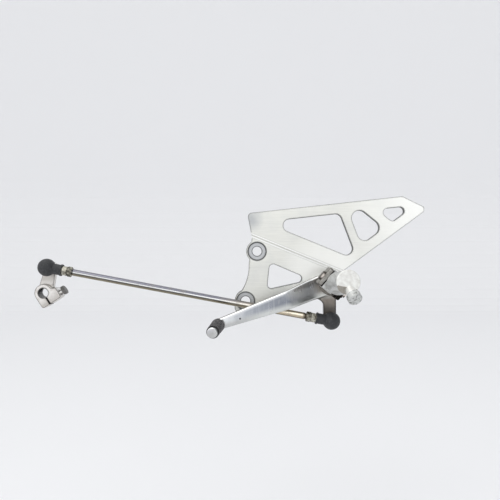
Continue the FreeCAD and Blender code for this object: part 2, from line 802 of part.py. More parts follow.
# Worn facet under the peg's end, then the angled boss for the bank sensor
sideways = Rotation(Vector(0, 1, 0), size("sensor_turn").value)
facet = new_sketch(peg, "XZ_Plane", seat=across_peg(size("facet_turn").value))
facet_top = peg_end + 1
draw_outline(facet, [(size("facet_drop") - 1, facet_top), (peg_out, facet_top),
                     (peg_out, peg_end - (peg_out - size("facet_drop")))])
add_pocket(peg, facet, peg_out * 2, backwards=True)
lean = Rotation(Vector(0, 0, 1), -size("sensor_slope").value)
sensor_seat = Placement(Vector(0, size("sensor_start").value, 0), sideways * lean)
boss = new_sketch(peg, "XZ_Plane", seat=sensor_seat)
sensor_boss = size("sensor_boss_radius")
boss_end = size("sensor_boss_length")
draw_outline(boss, [(0, 0), (sensor_boss, 0), (sensor_boss, boss_end - 0.8), (sensor_boss - 0.8, boss_end),
                    (0, boss_end)])
add_turning(peg, boss)
tapped = new_sketch(peg, "XZ_Plane", seat=sensor_seat)
tap_floor = boss_end - size("sensor_thread_length") - 1
tap_radius = size("sensor_thread_radius") + size("press_fit")
draw_outline(tapped, [(0, tap_floor), (tap_radius, tap_floor), (tap_radius, boss_end + 1),
                      (0, boss_end + 1)])
add_turning(peg, tapped, kind="PartDesign::Groove")

# Pin bore and the clearance around the spring
peg_bore = new_sketch(peg, "XZ_Plane", lift=half_gap + 1)
draw_circle(peg_bore, 0, 0, size("pin_radius") + size("running_fit"))
add_pocket(peg, peg_bore, half_gap * 2 + 2)
face_on(peg, *pivot, size("fold_angle"), pin_height)
peg.Placement = peg.Placement * Placement(Vector(0, 0, 0), Rotation(Vector(0, 1, 0), tilt.value))

# Bank sensor in the boss
sensor = size("sensor_radius")
neck = size("sensor_neck_radius")
sensor_pin = turned("bank_sensor", [
    (0, -size("sensor_thread_length")), (size("sensor_thread_radius"), -size("sensor_thread_length")),
    (size("sensor_thread_radius"), 0), (neck, 0), (neck, size("sensor_neck_length")),
    (sensor, size("sensor_neck_length")), (sensor, size("sensor_length") - 0.9),
    (sensor - 0.9, size("sensor_length")), (0, size("sensor_length"))])
plane_lay = Placement(Vector(0, 0, 0), Rotation(Vector(1, 0, 0), 90))
stand = Placement(Vector(0, 0, 0), Rotation(Vector(1, 0, 0), -90))
sensor_pin.Placement = (peg.Placement * plane_lay * sensor_seat *
                        Placement(Vector(0, boss_end.value, 0), Rotation()) * stand)

# Return spring: one wire, from a leg on the flange through the coil round the pin to a leg on the peg
wire = size("spring_wire_radius").value
coil = size("spring_coil_radius").value
turns = int(size("spring_turns").value)
coil_run = size("spring_pitch").value * turns
coil_start = knuckle_width.value - knuckle_edge.value + spring_gap.value
leg_low = heel_low.value + wire + 0.2
leg_high = size("peg_root_start").value - wire - size("spring_leg_gap").value
steps_in_turn = 16
route = [Vector(coil, leg_low, 0), Vector(coil, leg_low / 2, 0)]
for step in range(turns * steps_in_turn + 1):
    turn = 2 * math.pi * step / steps_in_turn
    route.append(Vector(coil * math.cos(turn), coil * math.sin(turn),
                        -coil_run * step / (turns * steps_in_turn)))
route += [Vector(coil, leg_high / 2, -coil_run), Vector(coil, leg_high, -coil_run)]
path = Part.BSplineCurve()
path.interpolate(route)
section = Part.Wire(Part.makeCircle(wire, route[0], Vector(0, 1, 0)))
spring_shape = Part.Wire(path.toShape()).makePipeShell([section], True, False)
spring = document.addObject("Part::Feature", "peg_spring")
spring.Label = "peg_spring"
spring.Shape = spring_shape
fold_rest = Placement(pin_centre, Rotation(Vector(0, -1, 0), size("fold_angle").value) *
                      Rotation(Vector(1, 0, 0), 90))
spring.Placement = fold_rest * Placement(Vector(0, -coil_start - coil_run, 0),
                                         Rotation(Vector(1, 0, 0), 90))

# Gear lever: bar bowed clear of the rod, hub and lower arm
lever = new_body("gear_lever")
bar_back = hub_back + size("bar_root_back")
bar_root_front = bar_back + size("bar_root_thickness")
toe_back = bar_back + size("bar_raise")
toe_front = toe_back + size("bar_thickness")
bar_length = size("lever_length")
bar = new_sketch(lever, lift=bar_back)
half_root = size("bar_root_width") / 2
half_toe = size("bar_toe_width") / 2
draw_outline(bar, [(0, -half_root), (bar_length, -half_toe), (bar_length, half_toe), (0, half_root)])
add_pad(lever, bar, toe_front - bar_back)
bend_start = size("bar_bend_start")
bend_end = bend_start + size("bar_bend_run")
lag = size("bar_bend_lag")
front_cut = new_sketch(lever, "XZ_Plane", lift=half_root + 1)
draw_outline(front_cut, [(-2, bar_root_front), (bend_start, bar_root_front), (bend_end, toe_front),
                         (bend_end, toe_front + 2), (-2, toe_front + 2)])
add_pocket(lever, front_cut, half_root * 2 + 2)
back_cut = new_sketch(lever, "XZ_Plane", lift=half_root + 1)
draw_outline(back_cut, [(bend_start - lag, bar_back), (bend_start - lag, bar_back - 2),
                        (bar_length + 2, bar_back - 2), (bar_length + 2, toe_back),
                        (bend_end - lag, toe_back)])
add_pocket(lever, back_cut, half_root * 2 + 2)
bends = []
for x, z in ((bend_start, bar_root_front), (bend_end, toe_front),
             (bend_start - lag, bar_back), (bend_end - lag, toe_back)):
    bends.append((x.value, z.value))
add_round(lever, edges_along(lever.Tip.Shape, 1, bends), size("bar_bend_radius"))
long_edges = set()
for face in lever.Tip.Shape.Faces:
    if abs(face.normalAt(0, 0).y) < 0.9:
        continue
    for edge in face.Edges:
        run = edge.Vertexes[-1].Point - edge.Vertexes[0].Point
        if abs(run.x) < 0.01:
            continue
        for index, other in enumerate(lever.Tip.Shape.Edges, 1):
            if other.isSame(edge):
                long_edges.add(f"Edge{index}")
add_round(lever, sorted(long_edges), size("bar_edge_round"))
hub_radius = size("journal_radius") + size("bush_wall") + size("hub_wall")
hub = new_sketch(lever, lift=hub_back)
draw_circle(hub, 0, 0, hub_radius)
add_pad(lever, hub, size("hub_length"))
arm_seat = Placement(Vector(0, 0, arm_back.value), Rotation(Vector(0, 0, 1), size("low_arm_turn").value))
low_arm = new_sketch(lever, seat=arm_seat)
arm_end = size("low_arm_end_radius")
arm_length = size("low_arm_length")
half_arm = size("low_arm_root_width") / 2
draw_outline(low_arm, [(0, -half_arm), (arm_length, -arm_end), (arm_length + arm_end, 0),
                       (arm_length, arm_end), (0, half_arm)],
             {1: (arm_end, 1), 2: (arm_end, 1)})
add_pad(lever, low_arm, size("arm_thickness"))
bar_reach = size("gusset_bar_reach")
arm_reach_down = size("gusset_arm_reach")
arm_turn = size("low_arm_turn")
bar_foot = (bar_reach, half_root - (half_root - half_toe) * bar_reach / bar_length - 0.3)
half_there = half_arm - (half_arm - arm_end) * arm_reach_down / arm_length - 0.3
arm_side = (cosine(arm_turn) * arm_reach_down + sine(arm_turn) * half_there,
            sine(arm_turn) * arm_reach_down - cosine(arm_turn) * half_there)
gusset = new_sketch(lever, lift=arm_back)
draw_outline(gusset, [(0, 0), bar_foot, arm_side], {1: (size("gusset_radius"), -1)})
add_pad(lever, gusset, size("arm_thickness"))
toe_boss = new_sketch(lever, lift=toe_back)
draw_circle(toe_boss, bar_length, 0, size("toe_boss_radius"))
add_pad(lever, toe_boss, size("bar_thickness"))
hub_bore = new_sketch(lever, lift=hub_front + 1)
draw_circle(hub_bore, 0, 0, hub_radius - size("hub_wall"))
add_pocket(lever, hub_bore, size("hub_length") + 3)
stud_hole = new_sketch(lever, seat=arm_seat * Placement(Vector(0, 0, size("arm_thickness").value + 1),
                                                        Rotation()))
draw_circle(stud_hole, arm_length, 0, size("stud_thread_radius") + size("screw_fit"))
add_pocket(lever, stud_hole, size("arm_thickness") + 2)
toe_lean = Rotation(Vector(0, 1, 0), size("toe_turn").value) * Rotation(
    Vector(0, 0, 1), -size("toe_tilt").value)
toe_seat = Placement(Vector(bar_length.value, toe_front.value, 0), toe_lean)
toe_hole = new_sketch(lever, "XZ_Plane", seat=toe_seat)
toe_hole_radius = size("toe_spigot_radius") + size("press_fit")
toe_depth = size("bar_thickness") + 3
draw_outline(toe_hole, [(0, -toe_depth), (toe_hole_radius, -toe_depth), (toe_hole_radius, 3), (0, 3)])
add_turning(lever, toe_hole, kind="PartDesign::Groove")
face_on(lever, *pivot, size("lever_angle"))

# Lever bush and the seal at each end of it
bush_low = hub_back + size("seal_thickness") + 0.3
bush_high = hub_front - size("seal_thickness") - 0.3
bush = ring("lever_bush", size("journal_radius") + size("running_fit"),
            hub_radius - size("hub_wall") - size("press_fit"), bush_low, bush_high)
face_on(bush, *pivot, size("lever_angle"))
for name, low in (("inner_seal", hub_back + 0.2), ("outer_seal", hub_front - size("seal_thickness") - 0.2)):
    seal = ring(name, size("journal_radius") + size("running_fit"),
                hub_radius - size("hub_wall") - size("press_fit"), low, low + size("seal_thickness"))
    face_on(seal, *pivot, size("lever_angle"))

# Toe pin and its ribbed rubber
cap_back = size("toe_rubber_start") + size("toe_rubber_length")
cap_front = cap_back + size("toe_cap_thickness")
cap = size("toe_cap_radius")
toe_pin = turned("toe_pin", [
    (0, -size("bar_thickness") - 0.4), (size("toe_spigot_radius"), -size("bar_thickness") - 0.4),
    (size("toe_spigot_radius"), size("toe_rubber_start") - 0.3),
    (size("toe_core_radius"), size("toe_rubber_start") - 0.3),
    (size("toe_core_radius"), cap_back), (cap, cap_back), (cap, cap_front - 0.7),
    (cap - 0.7, cap_front), (0, cap_front)])
toe_pin.Placement = lever.Placement * plane_lay * toe_seat * stand
sleeve_bore = size("toe_core_radius") + size("press_fit")
sleeve = [(sleeve_bore, size("toe_rubber_start")),
          (size("toe_rubber_back_radius"), size("toe_rubber_start"))]
ribs = int((size("toe_rubber_length").value - 3) / size("toe_rib_pitch").value)
taper = (size("toe_rubber_back_radius") - size("toe_rubber_front_radius")) / size("toe_rubber_length")
for number in range(ribs):
    start = size("toe_rib_pitch") * number + 2.6
    for part, depth in ((0, 0), (0.3, 1), (0.5, 1), (0.8, 0)):
        along = start + size("toe_rib_pitch") * 0.6 * part
        sleeve.append((size("toe_rubber_back_radius") - taper * along - size("toe_rib_depth") * depth,
                       size("toe_rubber_start") + along))
sleeve += [(size("toe_rubber_front_radius"), cap_back), (sleeve_bore, cap_back)]
toe_rubber = turned("toe_rubber", sleeve)
toe_rubber.Placement = toe_pin.Placement

# Ball studs with their nuts behind the arms
rear_turn = math.radians(size("lever_angle").value + size("low_arm_turn").value)
rear_ball = Vector(pivot[0].value + arm_length.value * math.cos(rear_turn), -ball_height.value,
                   pivot[1].value + arm_length.value * math.sin(rear_turn))
front_ball = Vector(size("front_ball_x").value, -ball_height.value, size("front_ball_z").value)
ball = size("ball_radius")
neck = size("stud_neck_radius")
thread = size("stud_thread_radius")
collar = size("stud_collar_radius")
collar_back = -size("stud_reach")
collar_front = collar_back + size("stud_collar_height")
stud_tail = collar_back - size("arm_thickness") - size("stud_tail")
nut_back = collar_back - size("arm_thickness") - size("nut_thickness")
for end, centre in (("rear", rear_ball), ("front", front_ball)):
    stud = turned(f"{end}_ball_stud", [
        (0, stud_tail), (thread, stud_tail), (thread, collar_back), (collar, collar_back),
        (collar, collar_front), (neck, collar_front), (neck, -root(ball * ball - neck * neck)), (0, ball)],
        {6: (ball, 1)})
    stud.Placement = Placement(centre, Rotation(Vector(1, 0, 0), 90))
    stud_nut = nut(f"{end}_stud_nut", size("nut_flats"), thread + size("screw_fit"), size("nut_thickness"))
    stud_nut.Placement = stud.Placement * Placement(Vector(0, 0, nut_back.value), Rotation())

# Ball sockets, boots and lock nuts, mirrored at the two ends of the rod
socket_bore = ball + size("running_fit")
housing = size("socket_radius")
lip = size("socket_lip")
shank = size("socket_shank_radius")
boot_inner = housing + size("boot_play")
boot_outer = boot_inner + size("boot_wall")
boot_neck = size("boot_neck_radius")
boot_bore = shank + size("boot_play")
boot_flat = size("stud_reach") - size("stud_collar_height") - size("boot_gap")
rod_run = front_ball - rear_ball
rod_length = rod_run.Length
rod_angle = math.degrees(math.atan2(rod_run.z, rod_run.x))
for end, centre, angle in (("rear", rear_ball, rod_angle), ("front", front_ball, rod_angle + 180)):
    socket = new_body(f"{end}_ball_socket")
    cup = new_sketch(socket, "XZ_Plane")
    draw_outline(cup, [(0, socket_bore), (0, housing), (root(housing * housing - lip * lip), -lip),
                       (root(socket_bore * socket_bore - lip * lip), -lip)],
                 {1: (housing, -1), 3: (socket_bore, 1)})
    add_turning(socket, cup)
    stem = new_sketch(socket, "YZ_Plane", lift=socket_bore + 1.5)
    draw_circle(stem, 0, 0, shank)
    add_pad(socket, stem, size("socket_hex_start") - socket_bore - 1)
    flats = new_sketch(socket, "YZ_Plane", lift=size("socket_hex_start"))
    draw_hexagon(flats, size("nut_flats"))
    add_pad(socket, flats, size("socket_length") - size("socket_hex_start"))
    tapped = new_sketch(socket, "YZ_Plane", lift=size("socket_length"))
    draw_circle(tapped, 0, 0, thread + size("screw_fit"))
    add_pocket(socket, tapped, size("socket_length") - size("rod_thread_inset") + 1)
    face_on(socket, centre.x, centre.z, angle, ball_height)

    boot = new_body(f"{end}_boot")
    wall = new_sketch(boot)
    lip_start = size("boot_length") - size("boot_lip_width")
    draw_outline(wall, [
        (-boot_outer, 0), (root(boot_outer * boot_outer - boot_neck * boot_neck), boot_neck),
        (lip_start, boot_neck), (lip_start, size("boot_lip_radius")),
        (size("boot_length"), size("boot_lip_radius")), (size("boot_length"), boot_bore),
        (root(boot_inner * boot_inner - boot_bore * boot_bore), boot_bore), (-boot_inner, 0)],
        {0: (boot_outer, -1), 6: (boot_inner, 1)})
    add_turning(boot, wall, axis="H_Axis")
    seat_cut = new_sketch(boot, lift=-boot_flat)
    draw_circle(seat_cut, 0, 0, boot_outer)
    add_pocket(boot, seat_cut, boot_outer)
    mouth = new_sketch(boot, lift=-boot_flat - 1)
    draw_circle(mouth, 0, 0, size("boot_mouth_radius"))
    add_pocket(boot, mouth, boot_flat / 2 + 1, backwards=True)
    face_on(boot, centre.x, centre.z, angle, ball_height)

    lock_nut = nut(f"{end}_lock_nut", size("nut_flats"), thread + size("screw_fit"),
                   size("lock_nut_thickness"))
    along = Rotation(Vector(0, 0, 1), Vector(1, 0, 0))
    lock_nut.Placement = socket.Placement * Placement(Vector(size("socket_length").value, 0, 0), along)

# Linkage rod between the sockets, its threaded ends turned down
rod = new_body("linkage_rod")
rod_plan = new_sketch(rod)
thread_end = rod_length - size("rod_thread_inset").value
shoulder_end = rod_length - size("rod_shoulder").value
draw_outline(rod_plan, [
    (size("rod_thread_inset"), 0), (size("rod_thread_inset"), thread), (size("rod_shoulder") - 1, thread),
    (size("rod_shoulder"), size("rod_radius")), (shoulder_end, size("rod_radius")),
    (shoulder_end + 1, thread), (thread_end, thread), (thread_end, 0)])
add_turning(rod, rod_plan, axis="H_Axis")
face_on(rod, rear_ball.x, rear_ball.z, rod_angle, ball_height)

# Shift arm: slit clamp at the shaft, tapered arm to the ball
arm_run = Vector(size("shift_bore_x").value - front_ball.x, 0, size("shift_bore_z").value - front_ball.z)
arm_angle = math.degrees(math.atan2(arm_run.z, arm_run.x))
bore_beside = size("shift_bore_x") - size("front_ball_x")
bore_above = size("shift_bore_z") - size("front_ball_z")
arm_reach = root(bore_beside * bore_beside + bore_above * bore_above)
shift = new_body("shift_arm")
clamp_back = arm_back - size("clamp_back")
clamp_front = clamp_back + size("clamp_depth")
blade = new_sketch(shift, lift=arm_back)
blade_end = size("shift_arm_end_radius")
half_blade = size("shift_arm_root_width") / 2
draw_outline(blade, [(-blade_end, 0), (0, -blade_end), (arm_reach, -half_blade), (arm_reach, half_blade),
                     (0, blade_end)],
             {0: (blade_end, 1), 4: (blade_end, 1)})
add_pad(shift, blade, size("arm_thickness"))
clamp = new_sketch(shift, lift=clamp_back)
draw_circle(clamp, arm_reach, 0, size("shift_bore_radius") + size("clamp_wall"))
add_pad(shift, clamp, size("clamp_depth"))
slit_turn = Rotation(Vector(0, 0, 1), size("slit_turn").value)
lug = new_sketch(shift, seat=Placement(Vector(arm_reach.value, 0, clamp_back.value), slit_turn))
draw_outline(lug, [(0, -size("lug_far")), (size("lug_reach"), -size("lug_far")),
                   (size("lug_reach"), size("lug_seat")), (3, size("lug_seat")), (0, size("lug_far"))])
add_pad(shift, lug, size("clamp_depth"))
lug_corners = []
for side in (-size("lug_far"), size("lug_seat")):
    spot = slit_turn.multVec(Vector(size("lug_reach").value, side.value, 0))
    lug_corners.append((spot.x + arm_reach.value, spot.y))
add_round(shift, edges_along(shift.Tip.Shape, 2, lug_corners), size("lug_corner"))
slit = new_sketch(shift, seat=Placement(Vector(arm_reach.value, 0, clamp_front.value + 1), slit_turn))
half_slit = size("slit_width") / 2
draw_outline(slit, [(0, -half_slit), (size("lug_reach") + 1, -half_slit),
                    (size("lug_reach") + 1, half_slit), (0, half_slit)])
add_pocket(shift, slit, size("clamp_depth") + 2)
shaft_bore = new_sketch(shift, lift=clamp_front + 1)
draw_circle(shaft_bore, arm_reach, 0, size("shift_bore_radius"))
add_pocket(shift, shaft_bore, size("clamp_depth") + 2)
arm_stud_hole = new_sketch(shift, lift=arm_front + 1)
draw_circle(arm_stud_hole, 0, 0, thread + size("screw_fit"))
add_pocket(shift, arm_stud_hole, size("arm_thickness") + 2)
pinch_turn = Rotation(Vector(0, 1, 0), size("slit_turn").value)
pinch_seat = (Placement(Vector(arm_reach.value, 0, 0), pinch_turn) *
              Placement(Vector(0, 0, size("lug_far").value + 1), Rotation()))
pinch_hole = new_sketch(shift, "XZ_Plane", seat=pinch_seat)
pinch_height = clamp_back + size("clamp_depth") / 2
draw_circle(pinch_hole, size("pinch_offset"), pinch_height, size("pinch_radius") + size("screw_fit"))
add_pocket(shift, pinch_hole, size("lug_far") + size("lug_seat") + 2)
face_on(shift, front_ball.x, front_ball.z, arm_angle)

# Pinch bolt, not screwed home: its head stands off the lug
pinch = new_body("pinch_bolt")
pinch_head = new_sketch(pinch)
draw_hexagon(pinch_head, size("nut_flats"))
add_pad(pinch, pinch_head, size("pinch_head"))
bevel_hexagon(pinch, size("nut_flats"), size("pinch_head"), 1)
pinch_shank = new_sketch(pinch, lift=-size("pinch_length"))
draw_circle(pinch_shank, 0, 0, size("pinch_radius"))
add_pad(pinch, pinch_shank, size("pinch_length") + 1)
pinch_lift = size("lug_seat") + size("pinch_gap")
pinch.Placement = (shift.Placement * Placement(Vector(arm_reach.value, 0, pinch_height.value), slit_turn) *
                   Placement(Vector(size("pinch_offset").value, pinch_lift.value, 0),
                             Rotation(Vector(1, 0, 0), -90)))

# Check every object, then write one file for each part
document.recompute()
for item in document.Objects:
    if "Invalid" in item.State or "Error" in item.State:
        raise RuntimeError(f"{item.Label} did not compute")
os.makedirs("parts", exist_ok=True)
for item in document.Objects:
    if item.TypeId not in ("PartDesign::Body", "Part::Feature"):
        continue
    if item.Shape.isNull() or not item.Shape.isValid() or len(item.Shape.Solids) != 1:
        raise RuntimeError(f"{item.Label} is not one valid solid")
    item.Shape.exportStep(f"parts/{item.Label}.step")
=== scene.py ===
import math

import bmesh
import bpy
from mathutils import Matrix, Vector


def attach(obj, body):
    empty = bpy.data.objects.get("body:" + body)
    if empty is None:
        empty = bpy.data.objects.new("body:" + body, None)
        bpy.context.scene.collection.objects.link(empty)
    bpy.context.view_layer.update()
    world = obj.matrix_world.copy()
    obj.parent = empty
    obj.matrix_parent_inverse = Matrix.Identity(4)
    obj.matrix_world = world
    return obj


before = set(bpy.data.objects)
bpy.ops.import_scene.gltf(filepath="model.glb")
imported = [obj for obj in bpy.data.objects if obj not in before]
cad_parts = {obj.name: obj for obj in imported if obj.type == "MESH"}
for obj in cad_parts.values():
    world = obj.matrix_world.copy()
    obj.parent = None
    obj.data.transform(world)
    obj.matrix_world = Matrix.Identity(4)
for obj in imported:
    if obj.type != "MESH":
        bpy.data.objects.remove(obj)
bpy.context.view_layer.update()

# Step plate: the flat hanger that bolts to the motorcycle frame, pierced to save weight.
# Cast aluminium, its face brushed to a pale satin and its walls left as cast, darkened grey with painted
# shade.
# The step to the thicker mounting part carries two painted highlight lines, the face is lightened near the
# pivot with painted light, and the heel corner carries a painted dark reflection.
MM = 0.001
BEND_START = 0.97
BEND_FULL = 0.85


def linear(hex_colour):
    """Scene-linear colour from an sRGB hex value."""
    channels = [int(hex_colour[start:start + 2], 16) / 255 for start in (1, 3, 5)]
    curve = [level / 12.92 if level <= 0.04045 else ((level + 0.055) / 1.055) ** 2.4 for level in channels]
    return (*curve, 1.0)


def add_node(tree, kind, inputs=(), **settings):
    """Add one shader node with its settings; an input is a value or the socket that feeds it."""
    node = tree.nodes.new(kind)
    for name, value in settings.items():
        setattr(node, name, value)
    for socket, value in dict(inputs).items():
        if isinstance(value, bpy.types.NodeSocket):
            tree.links.new(value, node.inputs[socket])
        else:
            node.inputs[socket].default_value = value
    return node


def start_material(name):
    """New node material: the material, its tree, its shader, and place and facing on the object."""
    material = bpy.data.materials.new(name)
    material.use_nodes = True
    tree = material.node_tree
    spots = add_node(tree, "ShaderNodeTexCoord")
    return material, tree, tree.nodes["Principled BSDF"], spots.outputs["Object"], spots.outputs["Normal"]


def finish(tree, shader, **sockets):
    """Feed the shader: a socket or a value for each named input."""
    for name, value in sockets.items():
        socket = shader.inputs[name.replace("_", " ")]
        if isinstance(value, bpy.types.NodeSocket):
            tree.links.new(value, socket)
        else:
            socket.default_value = value


def near_edge(tree, reach, strongest):
    """Share of edge shade: none on a flat or a broad curve, the strongest along an edge."""
    rounded = add_node(tree, "ShaderNodeBevel", {"Radius": reach}, samples=8)
    surface = add_node(tree, "ShaderNodeNewGeometry")
    bend = add_node(tree, "ShaderNodeVectorMath", {
        0: rounded.outputs[0], 1: surface.outputs["Normal"]}, operation="DOT_PRODUCT")
    share = add_node(tree, "ShaderNodeMapRange", {
        "Value": bend.outputs["Value"], "From Min": BEND_START, "From Max": BEND_FULL, "To Max": strongest})
    return share.outputs[0]


def dress(material, *nodes):
    """Give CAD nodes their finish."""
    for name in nodes:
        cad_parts[name].material_slots[0].material = material


PIVOT = (90.5 * MM, 0, -7.5 * MM)
GUARD_LEAN = math.radians(6.3)
BRUSH_WIDTH = 1.4 * MM
BRUSH_LENGTH = 30 * MM
BRUSH_DEPTH = 0.02 * MM
CLOUD_SIZE = 26 * MM
HUB_LIGHT_EDGE = 62 * MM
HUB_LIGHT_CORE = 20 * MM
TIP_WEAR_START = 110 * MM
TIP_WEAR_FULL = 195 * MM
HEEL_CORNER = (-3 * MM, -10 * MM, 68 * MM)
REFLECTION_REACH = 19 * MM
REFLECTION_CORE = 3 * MM
BOLT_CENTRES = ((6.75 * MM, 0, 29.23 * MM), (-6.75 * MM, 0, -29.23 * MM))
SEAT_RIM = 10.9 * MM
SEAT_BLUR = 0.5 * MM
HOLE_RIM = 5.8 * MM
RIM_LINE = 0.9 * MM
STEP_ACROSS = (0.378, 0, 0.926)
STEP_EDGES = (43.5 * MM, 46.2 * MM)
STEP_HALF = 2.8 * MM
STEP_BLUR = 0.6 * MM
STEP_LINE = 0.9 * MM
PLATE_EDGE = 3 * MM
step_middle = sum(STEP_EDGES) / 2
slope_half = (STEP_EDGES[1] - STEP_EDGES[0]) / 2

# Brushed cast aluminium: a warm pale face with faint streaks along the guard, and walls and edges darkened
# grey with painted shade.
# Real brush marks are finer than a pixel here, so they are drawn about 1.4 mm wide.
brushed_aluminium, tree, shader, place, facing = start_material("brushed_cast_aluminium")
along = add_node(tree, "ShaderNodeMapping", {
    "Vector": place, "Rotation": (0, GUARD_LEAN, 0),
    "Scale": (1 / BRUSH_LENGTH, 1 / BRUSH_WIDTH, 1 / BRUSH_WIDTH)})
streaks = add_node(tree, "ShaderNodeTexNoise", {"Vector": along.outputs[0], "Scale": 1.0, "Detail": 3.0})
clouds = add_node(tree, "ShaderNodeTexNoise", {"Vector": place, "Scale": 1 / CLOUD_SIZE, "Detail": 5.0})
satin = add_node(tree, "ShaderNodeMix", {
    "Factor": streaks.outputs["Fac"], "A": linear("#D6D6D1"), "B": linear("#ECECE7")}, data_type="RGBA")
cloud_band = add_node(tree, "ShaderNodeMapRange", {
    "Value": clouds.outputs["Fac"], "From Min": 0.48, "From Max": 0.74, "To Max": 0.35})
colour = add_node(tree, "ShaderNodeMix", {
    "Factor": cloud_band.outputs[0], "A": satin.outputs["Result"], "B": linear("#C8CACA")}, data_type="RGBA")
flat = add_node(tree, "ShaderNodeVectorMath", {0: place, 1: (1, 0, 1)}, operation="MULTIPLY")
# Painted light: the face is lightened toward white near the pivot, where the lever and holder shade it. It
# also pales toward the tip.
from_pivot = add_node(tree, "ShaderNodeVectorMath", {0: flat.outputs[0], 1: PIVOT}, operation="DISTANCE")
near_pivot = add_node(tree, "ShaderNodeMapRange", {
    "Value": from_pivot.outputs["Value"], "From Min": HUB_LIGHT_EDGE, "From Max": HUB_LIGHT_CORE,
    "To Max": 0.9})
spread = add_node(tree, "ShaderNodeSeparateXYZ", {0: place})
tipward = add_node(tree, "ShaderNodeMapRange", {
    "Value": spread.outputs["X"], "From Min": TIP_WEAR_START, "From Max": TIP_WEAR_FULL, "To Max": 0.9})
pivot_light_and_pale_tip = add_node(tree, "ShaderNodeMath", {
    0: near_pivot.outputs[0], 1: tipward.outputs[0]}, operation="MAXIMUM")
colour = add_node(tree, "ShaderNodeMix", {
    "Factor": pivot_light_and_pale_tip.outputs[0], "A": colour.outputs["Result"], "B": linear("#FFFFFC")}, data_type="RGBA")
# Painted reflection: a dark blue-grey smudge on the heel corner, where the edge curves back.
from_corner = add_node(tree, "ShaderNodeVectorMath", {0: place, 1: HEEL_CORNER}, operation="DISTANCE")
near_corner = add_node(tree, "ShaderNodeMapRange", {
    "Value": from_corner.outputs["Value"], "From Min": REFLECTION_REACH, "From Max": REFLECTION_CORE})
heel_reflection = add_node(tree, "ShaderNodeMath", {
    0: near_corner.outputs[0], 1: clouds.outputs["Fac"]}, operation="MULTIPLY")
colour = add_node(tree, "ShaderNodeMix", {
    "Factor": heel_reflection.outputs[0], "A": colour.outputs["Result"], "B": linear("#7F8694")}, data_type="RGBA")
for centre in BOLT_CENTRES:
    from_bolt = add_node(tree, "ShaderNodeVectorMath", {0: flat.outputs[0], 1: centre}, operation="DISTANCE")
    in_seat = add_node(tree, "ShaderNodeMapRange", {
        "Value": from_bolt.outputs["Value"], "From Min": SEAT_RIM, "From Max": SEAT_RIM - SEAT_BLUR,
        "To Max": 0.85})
    colour = add_node(tree, "ShaderNodeMix", {
        "Factor": in_seat.outputs[0], "A": colour.outputs["Result"], "B": linear("#B9BBBF")},
        data_type="RGBA")
    # Painted shade: a dark line round each seat's outer rim and round its hole.
    for rim, tone in ((SEAT_RIM, "#77787A"), (HOLE_RIM, "#8E8F93")):
        off_rim = add_node(tree, "ShaderNodeMath", {
            0: from_bolt.outputs["Value"], 1: rim}, operation="SUBTRACT")
        rim_gap = add_node(tree, "ShaderNodeMath", {0: off_rim.outputs[0]}, operation="ABSOLUTE")
        rim_shade = add_node(tree, "ShaderNodeMapRange", {
            "Value": rim_gap.outputs[0], "From Min": RIM_LINE, "From Max": RIM_LINE / 3, "To Max": 0.8})
        colour = add_node(tree, "ShaderNodeMix", {
            "Factor": rim_shade.outputs[0], "A": colour.outputs["Result"], "B": linear(tone)}, data_type="RGBA")
# Painted shade: the walls and edges are darkened, except on the step.
front_share = add_node(tree, "ShaderNodeSeparateXYZ", {0: facing})
front = add_node(tree, "ShaderNodeMath", {0: front_share.outputs["Y"]}, operation="ABSOLUTE")
wall = add_node(tree, "ShaderNodeMapRange", {"Value": front.outputs[0], "From Min": 0.97, "From Max": 0.75})
across_step = add_node(tree, "ShaderNodeVectorMath", {0: place, 1: STEP_ACROSS}, operation="DOT_PRODUCT")
off_step = add_node(tree, "ShaderNodeMath", {
    0: across_step.outputs["Value"], 1: step_middle}, operation="SUBTRACT")
step_gap = add_node(tree, "ShaderNodeMath", {0: off_step.outputs[0]}, operation="ABSOLUTE")
on_step = add_node(tree, "ShaderNodeMapRange", {
    "Value": step_gap.outputs[0], "From Min": STEP_HALF + STEP_BLUR, "From Max": STEP_HALF})
wall_shade = add_node(tree, "ShaderNodeMath", {
    0: wall.outputs[0], 1: on_step.outputs[0]}, operation="SUBTRACT", use_clamp=True)
colour = add_node(tree, "ShaderNodeMix", {
    "Factor": wall_shade.outputs[0], "A": colour.outputs["Result"], "B": linear("#646563")}, data_type="RGBA")
plate_edge_shade = add_node(tree, "ShaderNodeMath", {
    0: near_edge(tree, PLATE_EDGE, 0.9), 1: on_step.outputs[0]}, operation="SUBTRACT", use_clamp=True)
colour = add_node(tree, "ShaderNodeMix", {
    "Factor": plate_edge_shade.outputs[0], "A": colour.outputs["Result"], "B": linear("#565756")}, data_type="RGBA")
step_shade = add_node(tree, "ShaderNodeMath", {0: on_step.outputs[0], 1: 0.6}, operation="MULTIPLY")
colour = add_node(tree, "ShaderNodeMix", {
    "Factor": step_shade.outputs[0], "A": colour.outputs["Result"], "B": linear("#D4D4CF")}, data_type="RGBA")
